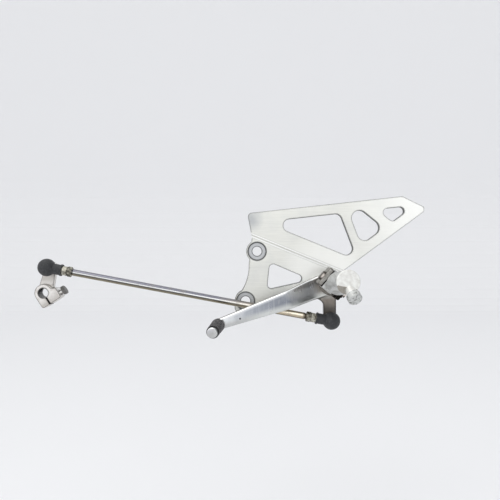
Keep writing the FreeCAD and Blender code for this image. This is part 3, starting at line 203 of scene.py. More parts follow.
# Painted highlight: two white lines along the step's edges.
edge_gap = add_node(tree, "ShaderNodeMath", {0: step_gap.outputs[0], 1: slope_half}, operation="SUBTRACT")
edge_off = add_node(tree, "ShaderNodeMath", {0: edge_gap.outputs[0]}, operation="ABSOLUTE")
step_highlight = add_node(tree, "ShaderNodeMapRange", {
    "Value": edge_off.outputs[0], "From Min": STEP_LINE, "From Max": STEP_LINE / 3, "To Max": 0.95})
colour = add_node(tree, "ShaderNodeMix", {
    "Factor": step_highlight.outputs[0], "A": colour.outputs["Result"], "B": linear("#FFFFFF")},
    data_type="RGBA")
gloss = add_node(tree, "ShaderNodeMapRange", {
    "Value": streaks.outputs["Fac"], "To Min": 0.34, "To Max": 0.52})
brush_bump = add_node(tree, "ShaderNodeBump", {
    "Height": streaks.outputs["Fac"], "Distance": BRUSH_DEPTH, "Strength": 0.35})
finish(tree, shader, Base_Color=colour.outputs["Result"], Metallic=1.0, Roughness=gloss.outputs[0],
       Normal=brush_bump.outputs[0])
dress(brushed_aluminium, "step_plate")

# Peg holder: a forged steel clevis with a turned journal and flange, bolted through the plate.
# The forging is satin grey with a brown flange; painted shade darkens its sides, and the fork's inside and
# the gap behind it are painted black as shade.
FOLD_TURN = math.radians(49.8)
PATCH_SIZE = 5 * MM
FORGE_DEPTH = 0.12 * MM
HALF_GAP = 10.4 * MM
EAR_BLUR = 0.1 * MM
FLANGE_BACK = -30.3 * MM
FLANGE_FRONT = -35.3 * MM
FLANGE_BEVEL = 1 * MM
FLANGE_BLUR = 0.2 * MM
pin_way = Vector((-math.sin(FOLD_TURN), 0, math.cos(FOLD_TURN)))

# Forged steel: a satin grey skin with darker oiled patches about 5 mm wide.
forged_steel, tree, shader, place, facing = start_material("forged_steel")
patches = add_node(tree, "ShaderNodeTexNoise", {"Vector": place, "Scale": 1 / PATCH_SIZE, "Detail": 5.0})
patch_band = add_node(tree, "ShaderNodeMapRange", {
    "Value": patches.outputs["Fac"], "From Min": 0.4, "From Max": 0.66})
oiled = add_node(tree, "ShaderNodeMix", {
    "Factor": patch_band.outputs[0], "A": linear("#B4B2AE"), "B": linear("#8A8680")}, data_type="RGBA")
# Painted shade: faces turned away from the front are darker.
front_share = add_node(tree, "ShaderNodeSeparateXYZ", {0: facing})
side_shade = add_node(tree, "ShaderNodeMapRange", {
    "Value": front_share.outputs["Y"], "From Min": -0.97, "From Max": -0.8, "To Max": 0.85})
colour = add_node(tree, "ShaderNodeMix", {
    "Factor": side_shade.outputs[0], "A": oiled.outputs["Result"], "B": linear("#6A6661")}, data_type="RGBA")
spread = add_node(tree, "ShaderNodeSeparateXYZ", {0: place})
outward = add_node(tree, "ShaderNodeMapRange", {
    "Value": spread.outputs["Y"], "From Min": FLANGE_FRONT - FLANGE_BLUR,
    "From Max": FLANGE_FRONT - 2 * FLANGE_BLUR})
on_flange = add_node(tree, "ShaderNodeMath", {
    0: 0.8, 1: outward.outputs[0]}, operation="SUBTRACT", use_clamp=True)
colour = add_node(tree, "ShaderNodeMix", {
    "Factor": on_flange.outputs[0], "A": colour.outputs["Result"], "B": linear("#77726B")}, data_type="RGBA")
# Painted shade: black on the fork beyond the knuckle's gap and in the gap behind the flange.
along_pin = add_node(tree, "ShaderNodeVectorMath", {0: place, 1: pin_way}, operation="DOT_PRODUCT")
past_pivot = add_node(tree, "ShaderNodeMath", {
    0: along_pin.outputs["Value"], 1: pin_way.dot(Vector(PIVOT))}, operation="SUBTRACT")
below_ear = add_node(tree, "ShaderNodeMapRange", {
    "Value": past_pivot.outputs[0], "From Min": HALF_GAP + EAR_BLUR, "From Max": HALF_GAP})
in_clevis = add_node(tree, "ShaderNodeMath", {
    0: below_ear.outputs[0], 1: outward.outputs[0]}, operation="MULTIPLY")
off_gap = add_node(tree, "ShaderNodeMath", {
    0: spread.outputs["Y"], 1: FLANGE_BACK - FLANGE_BEVEL / 4}, operation="SUBTRACT")
gap_gap = add_node(tree, "ShaderNodeMath", {0: off_gap.outputs[0]}, operation="ABSOLUTE")
in_gap = add_node(tree, "ShaderNodeMapRange", {
    "Value": gap_gap.outputs[0], "From Min": FLANGE_BEVEL / 2, "From Max": FLANGE_BEVEL / 4})
gap_shade = add_node(tree, "ShaderNodeMath", {
    0: in_clevis.outputs[0], 1: in_gap.outputs[0]}, operation="MAXIMUM")
colour = add_node(tree, "ShaderNodeMix", {
    "Factor": gap_shade.outputs[0], "A": colour.outputs["Result"], "B": linear("#1F1E1C")}, data_type="RGBA")
gloss = add_node(tree, "ShaderNodeMapRange", {
    "Value": patches.outputs["Fac"], "To Min": 0.28, "To Max": 0.5})
forge_bump = add_node(tree, "ShaderNodeBump", {
    "Height": patches.outputs["Fac"], "Distance": FORGE_DEPTH, "Strength": 0.4})
finish(tree, shader, Base_Color=colour.outputs["Result"], Metallic=1.0, Roughness=gloss.outputs[0],
       Normal=forge_bump.outputs[0])
dress(forged_steel, "peg_holder")

# Peg pin, pin clip, return spring and thrust washer: small pieces of blackened steel.
# The pin runs through both ears, the clip holds its tail and the spring sits beside the knuckle.
# The washer lies between the plate and the lever's hub.
SPECK_SIZE = 0.9 * MM

# Blackened steel: brown-black with fine specks, and a painted warm grey highlight on what faces the front.
black_steel, tree, shader, place, facing = start_material("blackened_steel")
specks = add_node(tree, "ShaderNodeTexNoise", {"Vector": place, "Scale": 1 / SPECK_SIZE, "Detail": 3.0})
speck_band = add_node(tree, "ShaderNodeMapRange", {
    "Value": specks.outputs["Fac"], "From Min": 0.44, "From Max": 0.64})
worn_black = add_node(tree, "ShaderNodeMix", {
    "Factor": speck_band.outputs[0], "A": linear("#4C4743"), "B": linear("#6E6862")}, data_type="RGBA")
# Painted highlight: warm grey on faces turned to the front.
front_share = add_node(tree, "ShaderNodeSeparateXYZ", {0: facing})
front_highlight = add_node(tree, "ShaderNodeMapRange", {
    "Value": front_share.outputs["Y"], "From Min": -0.8, "From Max": -0.97})
colour = add_node(tree, "ShaderNodeMix", {
    "Factor": front_highlight.outputs[0], "A": worn_black.outputs["Result"], "B": linear("#D8CFC8")},
    data_type="RGBA")
finish(tree, shader, Base_Color=colour.outputs["Result"], Metallic=0.9, Roughness=0.36)
dress(black_steel, "peg_spring", "peg_pin", "pin_clip", "thrust_washer")

# Footpeg: a bar cast in aluminium with a square knuckle, grip slots on top and an angled boss under its end.
# The casting is grey and faintly streaked along its length, and a worn facet under the end is brown.
# The end is rubbed to a pale chalky white.
PIN_CENTRE = Vector((90.5 * MM, -49 * MM, -7.5 * MM))
PEG_LENGTH = 63 * MM
PEG_LEAN = math.radians(8)
FACET_TURN = math.radians(257.8)
KNUCKLE_END = -57 * MM
KNUCKLE_BLUR = 3 * MM
PIT_SIZE = 1.6 * MM
PIT_DEPTH = 0.12 * MM
STAIN_WIDTH = 4 * MM
STAIN_LENGTH = 18 * MM
CHALK_DEPTH = 0.6 * MM
peg_axis = Vector((math.sin(PEG_LEAN) * math.cos(FOLD_TURN), -math.cos(PEG_LEAN),
                   math.sin(PEG_LEAN) * math.sin(FOLD_TURN)))
end_reach = peg_axis.dot(PIN_CENTRE) + PEG_LENGTH
facet_way = (peg_axis + Vector((math.cos(FACET_TURN), 0, math.sin(FACET_TURN)))).normalized()

# Rough cast aluminium: a matt grey skin, pitted, with long faint stains.
cast_aluminium, tree, shader, place, facing = start_material("rough_cast_aluminium")
pits = add_node(tree, "ShaderNodeTexNoise", {"Vector": place, "Scale": 1 / PIT_SIZE, "Detail": 4.0})
stretched = add_node(tree, "ShaderNodeMapping", {
    "Vector": place, "Scale": (1 / STAIN_WIDTH, 1 / STAIN_LENGTH, 1 / STAIN_WIDTH)})
stains = add_node(tree, "ShaderNodeTexNoise", {"Vector": stretched.outputs[0], "Scale": 1.0, "Detail": 5.0})
stain_band = add_node(tree, "ShaderNodeMapRange", {
    "Value": stains.outputs["Fac"], "From Min": 0.38, "From Max": 0.66})
grey = add_node(tree, "ShaderNodeMix", {
    "Factor": stain_band.outputs[0], "A": linear("#D0D1D0"), "B": linear("#AFAFAC")}, data_type="RGBA")
reach = add_node(tree, "ShaderNodeVectorMath", {0: place, 1: peg_axis}, operation="DOT_PRODUCT")
at_end = add_node(tree, "ShaderNodeMapRange", {
    "Value": reach.outputs["Value"], "From Min": end_reach - 2 * CHALK_DEPTH,
    "From Max": end_reach - CHALK_DEPTH})
chalk = add_node(tree, "ShaderNodeMix", {
    "Factor": stain_band.outputs[0], "A": linear("#F3F3F0"), "B": linear("#E0DFDB")}, data_type="RGBA")
colour = add_node(tree, "ShaderNodeMix", {
    "Factor": at_end.outputs[0], "A": grey.outputs["Result"], "B": chalk.outputs["Result"]}, data_type="RGBA")
along_facet = add_node(tree, "ShaderNodeVectorMath", {0: facing, 1: facet_way}, operation="DOT_PRODUCT")
on_facet = add_node(tree, "ShaderNodeMapRange", {
    "Value": along_facet.outputs["Value"], "From Min": 0.96, "From Max": 0.985})
rubbed = add_node(tree, "ShaderNodeMix", {
    "Factor": pits.outputs["Fac"], "A": linear("#BDB9B1"), "B": linear("#8E887F")}, data_type="RGBA")
colour = add_node(tree, "ShaderNodeMix", {
    "Factor": on_facet.outputs[0], "A": colour.outputs["Result"], "B": rubbed.outputs["Result"]},
    data_type="RGBA")
spread = add_node(tree, "ShaderNodeSeparateXYZ", {0: place})
# Painted shade: the knuckle's cheeks near the pin are black, in the gap beside the holder's ears.
near_pin = add_node(tree, "ShaderNodeMapRange", {
    "Value": spread.outputs["Y"], "From Min": KNUCKLE_END - KNUCKLE_BLUR, "From Max": KNUCKLE_END})
cheek_share = add_node(tree, "ShaderNodeVectorMath", {0: facing, 1: pin_way}, operation="DOT_PRODUCT")
cheek_turn = add_node(tree, "ShaderNodeMath", {0: cheek_share.outputs["Value"]}, operation="ABSOLUTE")
on_cheek = add_node(tree, "ShaderNodeMapRange", {
    "Value": cheek_turn.outputs[0], "From Min": 0.9, "From Max": 0.97})
gap_shade = add_node(tree, "ShaderNodeMath", {
    0: near_pin.outputs[0], 1: on_cheek.outputs[0]}, operation="MULTIPLY")
colour = add_node(tree, "ShaderNodeMix", {
    "Factor": gap_shade.outputs[0], "A": colour.outputs["Result"], "B": linear("#22211F")}, data_type="RGBA")
pit_bump = add_node(tree, "ShaderNodeBump", {
    "Height": pits.outputs["Fac"], "Distance": PIT_DEPTH, "Strength": 0.4})
finish(tree, shader, Base_Color=colour.outputs["Result"], Metallic=0.9, Roughness=0.56,
       Normal=pit_bump.outputs[0])
dress(cast_aluminium, "footpeg")

# Bank sensor: a steel bolt that scrapes the road first, screwed into the boss.
# Its zinc has gone and its face is pitted and scored by grit.
SCORE_SIZE = 2.4 * MM
SCORE_DEPTH = 0.15 * MM

# Scored steel: light grey with dark flecks in the scratches.
scored_steel, tree, shader, place, facing = start_material("scored_steel")
scores = add_node(tree, "ShaderNodeTexNoise", {"Vector": place, "Scale": 1 / SCORE_SIZE, "Detail": 3.0})
score_band = add_node(tree, "ShaderNodeMapRange", {
    "Value": scores.outputs["Fac"], "From Min": 0.5, "From Max": 0.66})
scraped = add_node(tree, "ShaderNodeMix", {
    "Factor": score_band.outputs[0], "A": linear("#CBCCCA"), "B": linear("#8B8C89")}, data_type="RGBA")
score_bump = add_node(tree, "ShaderNodeBump", {
    "Height": scores.outputs["Fac"], "Distance": SCORE_DEPTH, "Strength": 0.3})
finish(tree, shader, Base_Color=scraped.outputs["Result"], Metallic=1.0, Roughness=0.45,
       Normal=score_bump.outputs[0])
dress(scored_steel, "bank_sensor")

# Gear lever and toe pin: forged aluminium, bowed out past the linkage rod and polished by hand.
# Painted reflections lie in bands along it, blue-grey near the hub and brighter toward the toe, and there is
# a small nick by the toe.
# Its upper edge and a spot by the bend carry painted highlights, its lower edge a painted floor reflection
# that turns to painted shade toward the toe, and its flat top a painted shade; the lower arm is brown with
# road dirt, with painted shade by the ball and along its edges.
LEVER_TURN = math.radians(19.4)
BAR_LENGTH = 134.9 * MM
HALF_ROOT = 13.1 * MM
HALF_TOE = 5.95 * MM
HUB_REFLECTION = "#A29D97"
REFLECTION_BANDS = ((14 * MM, 26 * MM, "#BEC0C3"), (38 * MM, 50 * MM, "#8E929B"),
                (62 * MM, 84 * MM, "#A4A8B0"), (90 * MM, 116 * MM, "#CFD2D6"),
                (114 * MM, 124 * MM, "#F2F4F5"), (136 * MM, 140 * MM, "#CECED1"))
HAZE_WIDTH = 7 * MM
HAZE_LENGTH = 16 * MM
BAND_WOBBLE = 5 * MM
RUB_WIDTH = 1.8 * MM
RUB_LENGTH = 14 * MM
GLOW_PLACE = 40 * MM
GLOW_RADIUS = 17 * MM
GLOW_CORE = 2 * MM
TOP_GLOW = 4.5 * MM
TOP_CORE = 1.5 * MM
TOP_GLOW_START = 22 * MM
TOP_GLOW_FULL = 42 * MM
LOW_EDGE = 8 * MM
LOW_CORE = 3 * MM
LOW_EDGE_PALE = 85 * MM
LOW_EDGE_GREY = 115 * MM
NICK = (-12.6 * MM, -47.5 * MM, -45.5 * MM)
NICK_RADIUS = 1.3 * MM
NICK_CORE = 0.8 * MM
ARM_TOP = -19 * MM
ARM_CLEAR = -27 * MM
ARM_FRONT = -22.5 * MM
ARM_INSIDE = -21.6 * MM
DIRT_SIZE = 4 * MM
BALL_SHADE_TOP = -29 * MM
BALL_SHADE_FULL = -37 * MM
LEVER_ARM_EDGE = 4.5 * MM
lever_way = (-math.cos(LEVER_TURN), 0, -math.sin(LEVER_TURN))
lever_up = (-math.sin(LEVER_TURN), 0, math.cos(LEVER_TURN))

# Polished aluminium: a soft mirror with painted reflections in hazy bands across the bar, dull where dirt
# covers it.
polished_aluminium, tree, shader, place, facing = start_material("polished_aluminium")
from_pivot = add_node(tree, "ShaderNodeVectorMath", {0: place, 1: PIVOT}, operation="SUBTRACT")
out = add_node(tree, "ShaderNodeVectorMath", {
    0: from_pivot.outputs[0], 1: lever_way}, operation="DOT_PRODUCT")
rise = add_node(tree, "ShaderNodeVectorMath", {
    0: from_pivot.outputs[0], 1: lever_up}, operation="DOT_PRODUCT")
across = add_node(tree, "ShaderNodeMapping", {
    "Vector": place, "Rotation": (0, -LEVER_TURN, 0),
    "Scale": (1 / HAZE_WIDTH, 1 / HAZE_LENGTH, 1 / HAZE_LENGTH)})
haze_and_band_noise = add_node(tree, "ShaderNodeTexNoise", {"Vector": across.outputs[0], "Scale": 1.0, "Detail": 4.0})
band_shift = add_node(tree, "ShaderNodeMapRange", {
    "Value": haze_and_band_noise.outputs["Fac"], "From Min": 0.3, "From Max": 0.7,
    "To Min": -BAND_WOBBLE, "To Max": BAND_WOBBLE})
band_place = add_node(tree, "ShaderNodeMath", {
    0: out.outputs["Value"], 1: band_shift.outputs[0]}, operation="ADD")
# Painted reflection: tones stepped along the bar stand for what the polished surface mirrors, their edges
# wobbled by noise.
tone_there = linear(HUB_REFLECTION)
for start, end, tone in REFLECTION_BANDS:
    beyond = add_node(tree, "ShaderNodeMapRange", {
        "Value": band_place.outputs[0], "From Min": start, "From Max": end})
    reflection_band = add_node(tree, "ShaderNodeMix", {
        "Factor": beyond.outputs[0], "A": tone_there, "B": linear(tone)}, data_type="RGBA")
    tone_there = reflection_band.outputs["Result"]
crosswise = add_node(tree, "ShaderNodeMapping", {
    "Vector": place, "Rotation": (0, -LEVER_TURN, 0),
    "Scale": (1 / RUB_WIDTH, 1 / RUB_LENGTH, 1 / RUB_LENGTH)})
rubs = add_node(tree, "ShaderNodeTexNoise", {"Vector": crosswise.outputs[0], "Scale": 1.0, "Detail": 2.0})
rub_band = add_node(tree, "ShaderNodeMapRange", {
    "Value": rubs.outputs["Fac"], "From Min": 0.5, "From Max": 0.75, "To Max": 0.22})
rubbed = add_node(tree, "ShaderNodeMix", {
    "Factor": rub_band.outputs[0], "A": tone_there, "B": linear("#E9EAEB")}, data_type="RGBA")
half_width = add_node(tree, "ShaderNodeMapRange", {
    "Value": out.outputs["Value"], "From Min": 0.0, "From Max": BAR_LENGTH,
    "To Min": HALF_ROOT, "To Max": HALF_TOE})
below_top = add_node(tree, "ShaderNodeMath", {
    0: half_width.outputs[0], 1: rise.outputs["Value"]}, operation="SUBTRACT")
# Painted highlight: a white spot by the bend and a white strip along the upper edge past the hub.
from_glow = add_node(tree, "ShaderNodeMath", {0: out.outputs["Value"], 1: GLOW_PLACE}, operation="SUBTRACT")
glow_spot = add_node(tree, "ShaderNodeCombineXYZ", {"X": from_glow.outputs[0], "Y": below_top.outputs[0]})
glow_gap = add_node(tree, "ShaderNodeVectorMath", {0: glow_spot.outputs[0]}, operation="LENGTH")
in_glow = add_node(tree, "ShaderNodeMapRange", {
    "Value": glow_gap.outputs["Value"], "From Min": GLOW_RADIUS, "From Max": GLOW_CORE})
near_top = add_node(tree, "ShaderNodeMapRange", {
    "Value": below_top.outputs[0], "From Min": TOP_GLOW, "From Max": TOP_CORE, "To Max": 0.7})
past_hub = add_node(tree, "ShaderNodeMapRange", {
    "Value": out.outputs["Value"], "From Min": TOP_GLOW_START, "From Max": TOP_GLOW_FULL})
top_glow = add_node(tree, "ShaderNodeMath", {
    0: near_top.outputs[0], 1: past_hub.outputs[0]}, operation="MULTIPLY")
glow = add_node(tree, "ShaderNodeMath", {
    0: in_glow.outputs[0], 1: top_glow.outputs[0]}, operation="MAXIMUM")
glowing = add_node(tree, "ShaderNodeMix", {
    "Factor": glow.outputs[0], "A": rubbed.outputs["Result"], "B": linear("#FFFFFF")}, data_type="RGBA")
# Painted reflection of the floor along the lower edge, turning grey as painted shade toward the toe.
above_edge = add_node(tree, "ShaderNodeMath", {
    0: rise.outputs["Value"], 1: half_width.outputs[0]}, operation="ADD")
low_edge = add_node(tree, "ShaderNodeMapRange", {
    "Value": above_edge.outputs[0], "From Min": LOW_EDGE, "From Max": LOW_CORE, "To Max": 0.75})
toeward = add_node(tree, "ShaderNodeMapRange", {
    "Value": out.outputs["Value"], "From Min": LOW_EDGE_PALE, "From Max": LOW_EDGE_GREY})
floor_reflection_and_shade = add_node(tree, "ShaderNodeMix", {
    "Factor": toeward.outputs[0], "A": linear("#DFE1DD"), "B": linear("#B4B4B2")}, data_type="RGBA")
colour = add_node(tree, "ShaderNodeMix", {
    "Factor": low_edge.outputs[0], "A": glowing.outputs["Result"], "B": floor_reflection_and_shade.outputs["Result"]},
    data_type="RGBA")
# Painted highlight where the bar's edge turns up, and painted shade on its flat top.
turned_up = add_node(tree, "ShaderNodeVectorMath", {0: facing, 1: lever_up}, operation="DOT_PRODUCT")
lit_edge = add_node(tree, "ShaderNodeMapRange", {
    "Value": turned_up.outputs["Value"], "From Min": 0.25, "From Max": 0.5, "To Max": 0.8})
colour = add_node(tree, "ShaderNodeMix", {
    "Factor": lit_edge.outputs[0], "A": colour.outputs["Result"], "B": linear("#F6F7F7")}, data_type="RGBA")
top_shade = add_node(tree, "ShaderNodeMapRange", {
    "Value": turned_up.outputs["Value"], "From Min": 0.75, "From Max": 0.92})
colour = add_node(tree, "ShaderNodeMix", {
    "Factor": top_shade.outputs[0], "A": colour.outputs["Result"], "B": linear("#96958F")}, data_type="RGBA")
from_nick = add_node(tree, "ShaderNodeVectorMath", {0: place, 1: NICK}, operation="DISTANCE")
in_nick = add_node(tree, "ShaderNodeMapRange", {
    "Value": from_nick.outputs["Value"], "From Min": NICK_RADIUS, "From Max": NICK_CORE})
colour = add_node(tree, "ShaderNodeMix", {
    "Factor": in_nick.outputs[0], "A": colour.outputs["Result"], "B": linear("#3F3F42")}, data_type="RGBA")
spread = add_node(tree, "ShaderNodeSeparateXYZ", {0: place})
downward = add_node(tree, "ShaderNodeMapRange", {
    "Value": spread.outputs["Z"], "From Min": ARM_TOP, "From Max": ARM_CLEAR})
inward = add_node(tree, "ShaderNodeMapRange", {
    "Value": spread.outputs["Y"], "From Min": ARM_FRONT, "From Max": ARM_INSIDE})
on_arm = add_node(tree, "ShaderNodeMath", {
    0: downward.outputs[0], 1: inward.outputs[0]}, operation="MULTIPLY")
dirt = add_node(tree, "ShaderNodeTexNoise", {"Vector": place, "Scale": 1 / DIRT_SIZE, "Detail": 5.0})
dirty = add_node(tree, "ShaderNodeMix", {
    "Factor": dirt.outputs["Fac"], "A": linear("#A69D94"), "B": linear("#7A7269")}, data_type="RGBA")
colour = add_node(tree, "ShaderNodeMix", {
    "Factor": on_arm.outputs[0], "A": colour.outputs["Result"], "B": dirty.outputs["Result"]},
    data_type="RGBA")
near_ball = add_node(tree, "ShaderNodeMapRange", {
    "Value": spread.outputs["Z"], "From Min": BALL_SHADE_TOP, "From Max": BALL_SHADE_FULL, "To Max": 0.7})
ball_shade = add_node(tree, "ShaderNodeMath", {
    0: near_ball.outputs[0], 1: on_arm.outputs[0]}, operation="MULTIPLY")
colour = add_node(tree, "ShaderNodeMix", {
    "Factor": ball_shade.outputs[0], "A": colour.outputs["Result"], "B": linear("#403C38")}, data_type="RGBA")
# Painted shade: the lower arm's forward-facing sides and edges are near black.
side_share = add_node(tree, "ShaderNodeSeparateXYZ", {0: facing})
foreside = add_node(tree, "ShaderNodeMapRange", {
    "Value": side_share.outputs["X"], "From Min": -0.25, "From Max": -0.5, "To Max": 0.95})
side_and_edge_shade = add_node(tree, "ShaderNodeMath", {
    0: foreside.outputs[0], 1: near_edge(tree, LEVER_ARM_EDGE, 0.95)}, operation="MAXIMUM")
arm_edge_shade = add_node(tree, "ShaderNodeMath", {
    0: side_and_edge_shade.outputs[0], 1: on_arm.outputs[0]}, operation="MULTIPLY")
colour = add_node(tree, "ShaderNodeMix", {
    "Factor": arm_edge_shade.outputs[0], "A": colour.outputs["Result"], "B": linear("#1C1A18")},
    data_type="RGBA")
bare = add_node(tree, "ShaderNodeMapRange", {"Value": on_arm.outputs[0], "To Min": 1.0, "To Max": 0.15})
gloss = add_node(tree, "ShaderNodeMapRange", {
    "Value": haze_and_band_noise.outputs["Fac"], "To Min": 0.36, "To Max": 0.22})
finish(tree, shader, Base_Color=colour.outputs["Result"], Metallic=bare.outputs[0],
       Roughness=gloss.outputs[0])
dress(polished_aluminium, "gear_lever", "toe_pin")

# Lever bush: a plain bronze sleeve pressed into the hub, on which the lever turns.
# The hub and its two seals hide it, and it has an oiled finish of its own.
OIL_SIZE = 3 * MM

# Oiled bronze: warm brown metal under a thin uneven film.
bronze, tree, shader, place, facing = start_material("oiled_bronze")
film = add_node(tree, "ShaderNodeTexNoise", {"Vector": place, "Scale": 1 / OIL_SIZE, "Detail": 3.0})
oiled = add_node(tree, "ShaderNodeMix", {
    "Factor": film.outputs["Fac"], "A": linear("#B08D57"), "B": linear("#7A5C30")}, data_type="RGBA")
finish(tree, shader, Base_Color=oiled.outputs["Result"], Metallic=1.0, Roughness=0.35)
dress(bronze, "lever_bush")

# Ball-joint boots and hub seals: soft black rubber drawn over the sockets and pressed into the hub.
# The rubber has gone matt and a little dusty.
DUST_SIZE = 2.2 * MM
SKIN_DEPTH = 0.08 * MM

# Moulded rubber: near black, with a faint grey bloom.
boot_rubber, tree, shader, place, facing = start_material("moulded_rubber")
dust = add_node(tree, "ShaderNodeTexNoise", {"Vector": place, "Scale": 1 / DUST_SIZE, "Detail": 5.0})
dust_band = add_node(tree, "ShaderNodeMapRange", {
    "Value": dust.outputs["Fac"], "From Min": 0.5, "From Max": 0.75, "To Max": 0.5})
dusty = add_node(tree, "ShaderNodeMix", {
    "Factor": dust_band.outputs[0], "A": linear("#292A2D"), "B": linear("#494A4D")}, data_type="RGBA")
skin = add_node(tree, "ShaderNodeBump", {
    "Height": dust.outputs["Fac"], "Distance": SKIN_DEPTH, "Strength": 0.4})
finish(tree, shader, Base_Color=dusty.outputs["Result"], Metallic=0.0, Roughness=0.55, Normal=skin.outputs[0])
dress(boot_rubber, "rear_boot", "front_boot", "inner_seal", "outer_seal")

# Toe rubber: the ribbed sleeve that the boot lifts, pushed over the toe pin.
# Its ribs are scuffed to a lighter grey, and the grooves between them are painted black as shade.
SCUFF_SIZE = 1.8 * MM
TOE_LEAN = math.radians(11.5)
TOE_TURN = math.radians(-138.1)
MIDDLE_GROOVE = Vector((-38.82 * MM, -61.27 * MM, -54.17 * MM))
RIB_PITCH = 4.2 * MM
GROOVE_HALF = 1.0 * MM
LAST_RIB = 9.6 * MM
RIB_BLUR = 0.5 * MM
RING_START = 12 * MM
RING_FULL = 14 * MM
toe_axis = Vector((math.sin(TOE_LEAN) * math.cos(TOE_TURN), -math.cos(TOE_LEAN),
                   math.sin(TOE_LEAN) * math.sin(TOE_TURN)))

# Worn rubber: dark grey, paler where it is scuffed, with painted shade black in the grooves and a black ring
# behind the cap.
toe_rubber, tree, shader, place, facing = start_material("worn_rubber")
scuffs = add_node(tree, "ShaderNodeTexNoise", {"Vector": place, "Scale": 1 / SCUFF_SIZE, "Detail": 4.0})
scuff_band = add_node(tree, "ShaderNodeMapRange", {
    "Value": scuffs.outputs["Fac"], "From Min": 0.4, "From Max": 0.65})
scuffed = add_node(tree, "ShaderNodeMix", {
    "Factor": scuff_band.outputs[0], "A": linear("#343336"), "B": linear("#6E6B6B")}, data_type="RGBA")
# Painted shade: the grooves between the ribs are black, and a black ring lies behind the cap.
along_toe = add_node(tree, "ShaderNodeVectorMath", {0: place, 1: toe_axis}, operation="DOT_PRODUCT")
past_middle = add_node(tree, "ShaderNodeMath", {
    0: along_toe.outputs["Value"], 1: toe_axis.dot(MIDDLE_GROOVE)}, operation="SUBTRACT")
off_groove = add_node(tree, "ShaderNodeMath", {
    0: past_middle.outputs[0], 1: RIB_PITCH / 2}, operation="PINGPONG")
in_groove = add_node(tree, "ShaderNodeMapRange", {
    "Value": off_groove.outputs[0], "From Min": GROOVE_HALF, "From Max": GROOVE_HALF / 2})
on_ribs = add_node(tree, "ShaderNodeMapRange", {
    "Value": past_middle.outputs[0], "From Min": LAST_RIB + RIB_BLUR, "From Max": LAST_RIB})
groove_shade = add_node(tree, "ShaderNodeMath", {
    0: in_groove.outputs[0], 1: on_ribs.outputs[0]}, operation="MULTIPLY")
behind_cap = add_node(tree, "ShaderNodeMapRange", {
    "Value": past_middle.outputs[0], "From Min": RING_START, "From Max": RING_FULL})
ring = add_node(tree, "ShaderNodeMath", {
    0: groove_shade.outputs[0], 1: behind_cap.outputs[0]}, operation="MAXIMUM")
ringed = add_node(tree, "ShaderNodeMix", {
    "Factor": ring.outputs[0], "A": scuffed.outputs["Result"], "B": linear("#19191B")}, data_type="RGBA")
finish(tree, shader, Base_Color=ringed.outputs["Result"], Metallic=0.0, Roughness=0.6)
dress(toe_rubber, "toe_rubber")

# Ball sockets, studs, nuts and the holder's bolt and washer: zinc-plated steel hardware.
# The plate has aged olive, with painted shade along the edges, and the two lock nuts are dark with oil.
BLOOM_SIZE = 3 * MM
NUT_EDGE = 1.2 * MM
PLATED = ("rear_ball_socket", "front_ball_socket", "rear_ball_stud", "front_ball_stud", "rear_stud_nut",
          "front_stud_nut", "holder_bolt", "holder_washer")
LOCK_NUTS = ("rear_lock_nut", "front_lock_nut")

# Aged zinc plate: olive grey and blotched, or darker where oil has stained it.
for name, clean, stained, nodes in (("aged_zinc_plate", "#C2C0B4", "#7A766C", PLATED),
                                    ("oily_zinc_plate", "#A8A598", "#504C45", LOCK_NUTS)):
    zinc, tree, shader, place, facing = start_material(name)
    bloom = add_node(tree, "ShaderNodeTexNoise", {"Vector": place, "Scale": 1 / BLOOM_SIZE, "Detail": 4.0})
    bloom_band = add_node(tree, "ShaderNodeMapRange", {
        "Value": bloom.outputs["Fac"], "From Min": 0.38, "From Max": 0.62})
    plated = add_node(tree, "ShaderNodeMix", {
        "Factor": bloom_band.outputs[0], "A": linear(clean), "B": linear(stained)}, data_type="RGBA")
    # Painted shade along the edges.
    edge_shaded = add_node(tree, "ShaderNodeMix", {
        "Factor": near_edge(tree, NUT_EDGE, 0.8), "A": plated.outputs["Result"], "B": linear("#3B3832")},
        data_type="RGBA")
    finish(tree, shader, Base_Color=edge_shaded.outputs["Result"], Metallic=1.0, Roughness=0.36)
    dress(zinc, *nodes)

# Linkage rod: drawn steel bar with bright plate, screwed into the two ball sockets.
# Painted reflections run along it in stripes, blue-grey above, bright along the front and brown below, and it
# is tarnished golden toward the lever.
TARNISH_SIZE = 9 * MM
GOLD_START = -40 * MM
GOLD_FULL = 30 * MM
REAR_THREAD = 59.5 * MM
THREAD_BLUR = 2 * MM
COOL_REFLECTIONS = ("#80808A", ((0.3, 0.18, "#F2F3F4"), (0.02, -0.1, "#5A5855"), (-0.34, -0.48, "#837C68")))
GOLDEN_REFLECTIONS = ("#857A66", ((0.7, 0.4, "#EFE5D2"), (0.05, -0.2, "#BBAF98"), (-0.55, -0.75, "#6E6557")))

# Tarnished plated steel: painted reflection stripes along the bar, from its upper side to its lower one, with
# blotches of tarnish.
rod_steel, tree, shader, place, facing = start_material("tarnished_plated_steel")
